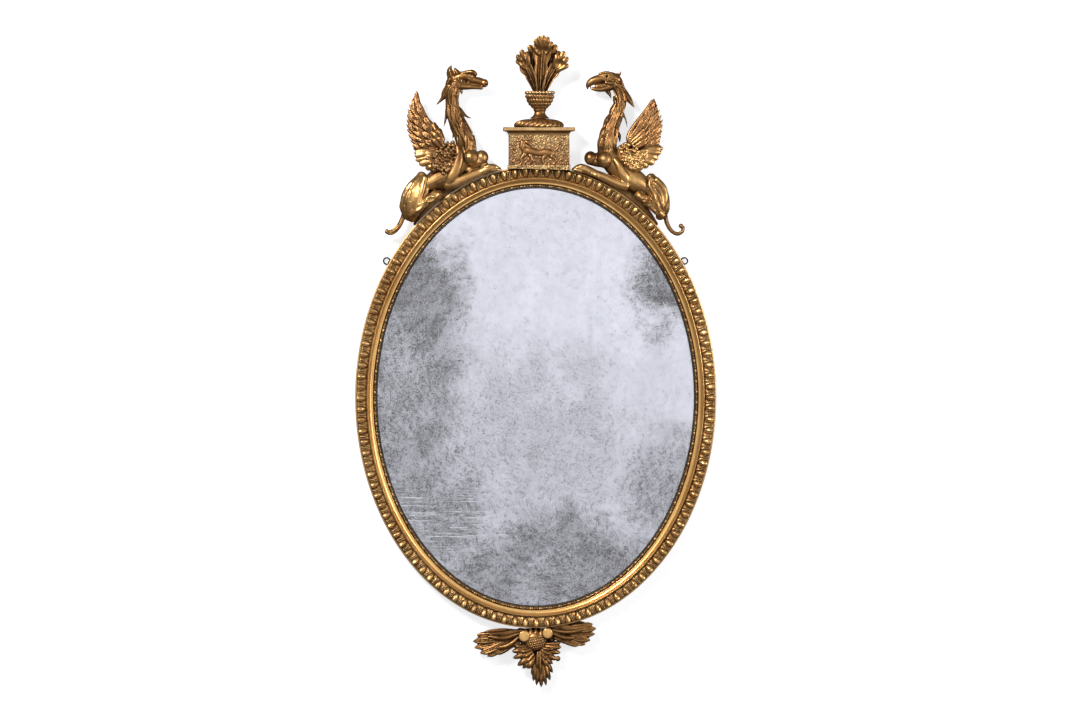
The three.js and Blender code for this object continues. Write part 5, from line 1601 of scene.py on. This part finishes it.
def leaf_right(c):
    c.limb([
        (548, 632, 17, 12, 6), (560, 631.6, 17, 22, 5), (573, 632, 17, 27, 5), (584, 632, 17, 24, 5),
        (590, 631, 17, 14, 4),
    ], 16)
    c.fan(
        [(552, 628), (553, 631), (551, 635)],
        [(592.6, 624.6), (596.4, 631), (590.8, 639.6), (584.2, 645.6), (574.6, 644.6), (563, 639)],
        8, 20, 25, 19, 9, -0.04, end=BLUNT, step=3.0,
    )
    c.fan(
        [(552, 630), (552, 633)],
        [(584, 629), (574, 638)],
        2, 30, 33, 12, 6.6, -0.08, end=BROAD, section=FLESHY,
    )


def palmette_left(c):
    c.ball(523.6, 642.6, 20, (9, 9, 8))
    c.limb([(530, 640, 17, 13, 6), (526.6, 651, 17, 19, 5), (522.4, 659.6, 17, 14, 5)], 10)
    c.fan(
        [(529, 646), (531, 651), (534.6, 656)],
        [(512.4, 646), (511.6, 656), (518.6, 667.6), (526.8, 669)],
        6, 22, 26, 16, 8, 0.05, section=FLESHY, step=2.4,
    )
    c.fan([(531, 649), (533.4, 654)], [(519, 652), (524.4, 663)], 3, 28, 31, 11, 6.4, 0.05, section=FLESHY)


def palmette_right(c):
    c.ball(551.4, 640, 20, (9, 9, 8))
    c.limb([(543, 640, 17, 13, 6), (546, 650, 17, 19, 5), (550.4, 655, 17, 13, 5)], 10)
    c.fan(
        [(543.6, 644), (542, 650), (540, 654)],
        [(560.4, 643), (561, 651), (555.6, 661.6), (548.6, 667)],
        6, 22, 26, 15, 8, -0.05, section=FLESHY, step=2.4,
    )
    c.fan(
        [(541.6, 648), (540, 652)],
        [(554, 649), (547.6, 660)],
        3, 28, 31, 10.5, 6.4, -0.05, section=FLESHY,
    )
    c.ball(557.6, 659.2, 27, (6.6, 6.8, 6.6), 14)


def pendant(c):
    c.limb([(537, 652, 16, 11, 5), (539, 664, 17, 17, 5), (541.6, 675, 17, 13, 5)], 14)
    c.fan(
        [(536.4, 658), (540, 660), (543.4, 657)],
        [(531.4, 675.6), (534.2, 684.6), (541, 688), (548, 684.6), (552.4, 673.6)],
        7, 21, 23, 12.5, 8, 0.0, section=FLESHY, step=2.6,
    )
    c.fan(
        [(537, 652), (539, 651), (541, 652)],
        [(536.4, 669), (540.4, 675), (545, 667)],
        3, 27, 29, 9.5, 7, 0.0, section=FLESHY, step=1.6,
    )


apron_piece("acanthus_left", "apron_leaf_left", leaf_left)
apron_piece("acanthus_right", "apron_leaf_right", leaf_right)
apron_piece("palmette_left", "apron_palmette_left", palmette_left)
apron_piece("palmette_right", "apron_palmette_right", palmette_right)
apron_piece("pendant_leaves", "apron_pendant_leaf", pendant)

# ---- Iron, glass and pine ----------------------------------------------------------------


def forged_ring(side):
    """A hand-forged ring: its wire varies a little in thickness."""
    low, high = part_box(f"hanging_ring_{side}")
    centre = (low + high) / 2 * 1000
    points = []
    for u in turns(72):
        wire = 1.86 + 0.08 * math.sin(3 * u + 1) + 0.05 * math.sin(7 * u)
        for v in turns(16):
            reach = RING_RADIUS + wire * math.cos(v)
            height = wire * math.sin(v) - centre.y
            points.append((centre.x + reach * math.cos(u), centre.z + reach * math.sin(u), height))
    obj = make(f"forged_ring_{side}", points, grid_faces(72, 16, True, True), old_iron)
    finish(obj, "old_iron", f"hanging_ring_{side}", body=f"{side}_ring")


forged_ring("left")
forged_ring("right")

CAD_FINISHES = {
    "mirror_plate": silvering, "backboard": bare_pine, "glazing": bare_pine, "hanger": old_iron,
    "stay": old_iron,
}
for name, node in frame["nodes"].items():
    for word, material in CAD_FINISHES.items():
        if word in name and not node.hide_render:
            node.data.materials.clear()
            node.data.materials.append(material)
            for slot in node.material_slots:
                slot.material = material

# ---- Wall, light and camera --------------------------------------------------------------


def wall_white():
    """White to the camera, dim to the object, and clear from behind and to the lamps' shadows."""
    n = principled("wall_white")
    finished(n, Base_Color=(0.50, 0.50, 0.515), Roughness=0.9, Specular_IOR_Level=0.1)
    glow = n.new("ShaderNodeEmission", {"Color": (1.0, 1.0, 1.0), "Strength": 0.72})
    bright = n.new("ShaderNodeAddShader", {0: n.shader.outputs[0], 1: glow.outputs[0]})
    dim = n.new("ShaderNodeBsdfDiffuse", {"Color": (0.16, 0.15, 0.15)})
    rays = n.new("ShaderNodeLightPath").outputs
    seen = n.new("ShaderNodeMixShader", {0: rays["Is Camera Ray"], 1: dim.outputs[0], 2: bright.outputs[0]})
    backfacing = n.new("ShaderNodeNewGeometry").outputs["Backfacing"]
    through = n.math("MAXIMUM", backfacing, rays["Is Shadow Ray"])
    clear = n.new("ShaderNodeBsdfTransparent")
    either = n.new("ShaderNodeMixShader", {0: through, 1: seen.outputs[0], 2: clear.outputs[0]})
    n.feed(n.tree.nodes["Material Output"].inputs["Surface"], either.outputs[0])
    return n.owner


def wall():
    """A white wall, open behind the frame so that the back of the mirror can be looked at."""
    steps, opening, edge, height = 128, (430, 556), (4200, 4200), -1.0
    points = [(x * math.cos(u), y * math.sin(u), height) for x, y in (opening, edge) for u in turns(steps)]
    obj = make("wall", points, grid_faces(2, steps, loop_columns=True), wall_white(), smooth=False)
    if obj.data.polygons[0].normal.y > 0:
        obj.data.flip_normals()


def area_light(name, place, size, power, colour=(1, 1, 1)):
    """A round lamp that shines on the mirror."""
    data = bpy.data.lights.new(name, "AREA")
    data.shape, data.size, data.energy, data.color = "DISK", size, power, colour
    obj = bpy.data.objects.new(name, data)
    bpy.context.scene.collection.objects.link(obj)
    obj.location = place
    obj.rotation_euler = (LIT_POINT - Vector(place)).to_track_quat("-Z", "Y").to_euler()


def world():
    """White to the camera; to the object a plain grey room with a pale card behind the camera."""
    n = Nodes(bpy.data.worlds.new("studio"))
    bpy.context.scene.world = n.owner
    inputs = {0: n.place["Generated"], 1: (0.02, -0.999, 0.04)}
    toward = n.new("ShaderNodeVectorMath", inputs, operation="DOT_PRODUCT").outputs["Value"]
    room, wall_beyond, card = (0.06, 0.058, 0.056), (0.32, 0.32, 0.325), (1.12, 1.13, 1.20)
    lit = n.tree.nodes["Background"]
    n.feed(lit.inputs["Color"], n.ramp(toward, (0.45, room), (0.94, wall_beyond), (0.985, card)))
    lit.inputs["Strength"].default_value = 1.0
    white = n.new("ShaderNodeBackground", {"Color": (1.0, 1.0, 1.0), "Strength": 1.0})
    seen = n.new("ShaderNodeLightPath").outputs["Is Camera Ray"]
    either = n.new("ShaderNodeMixShader", {0: seen, 1: lit.outputs[0], 2: white.outputs[0]})
    n.feed(n.tree.nodes["World Output"].inputs["Surface"], either.outputs[0])


def photographer():
    """The camera, a little to the left and above, with the photograph's framing."""
    away, sensor, photo_width = 8.0, 36, 1.080 * MM_PER_PIXEL
    data = bpy.data.cameras.new("camera")
    data.sensor_width = sensor
    data.lens = sensor * away / photo_width
    camera = bpy.data.objects.new("camera", data)
    bpy.context.scene.collection.objects.link(camera)
    aim = Vector((0.01075, 0, 0.09325))
    camera.location = aim + Vector((-0.25, -away, 0.35))
    camera.rotation_euler = (aim - camera.location).to_track_quat("-Z", "Y").to_euler()
    bpy.context.scene.camera = camera


LIT_POINT = Vector((0, 0, 0.1))
wall()
area_light("key", (-1.9, -3.0, 2.4), 1.1, 150, (1.0, 0.98, 0.95))
area_light("fill", (2.7, -2.2, 0.6), 1.2, 54, (1.0, 0.98, 0.96))
area_light("back", (0, 4.5, 0.4), 2.0, 120)
world()
photographer()
bpy.context.scene.view_settings.view_transform = "Standard"
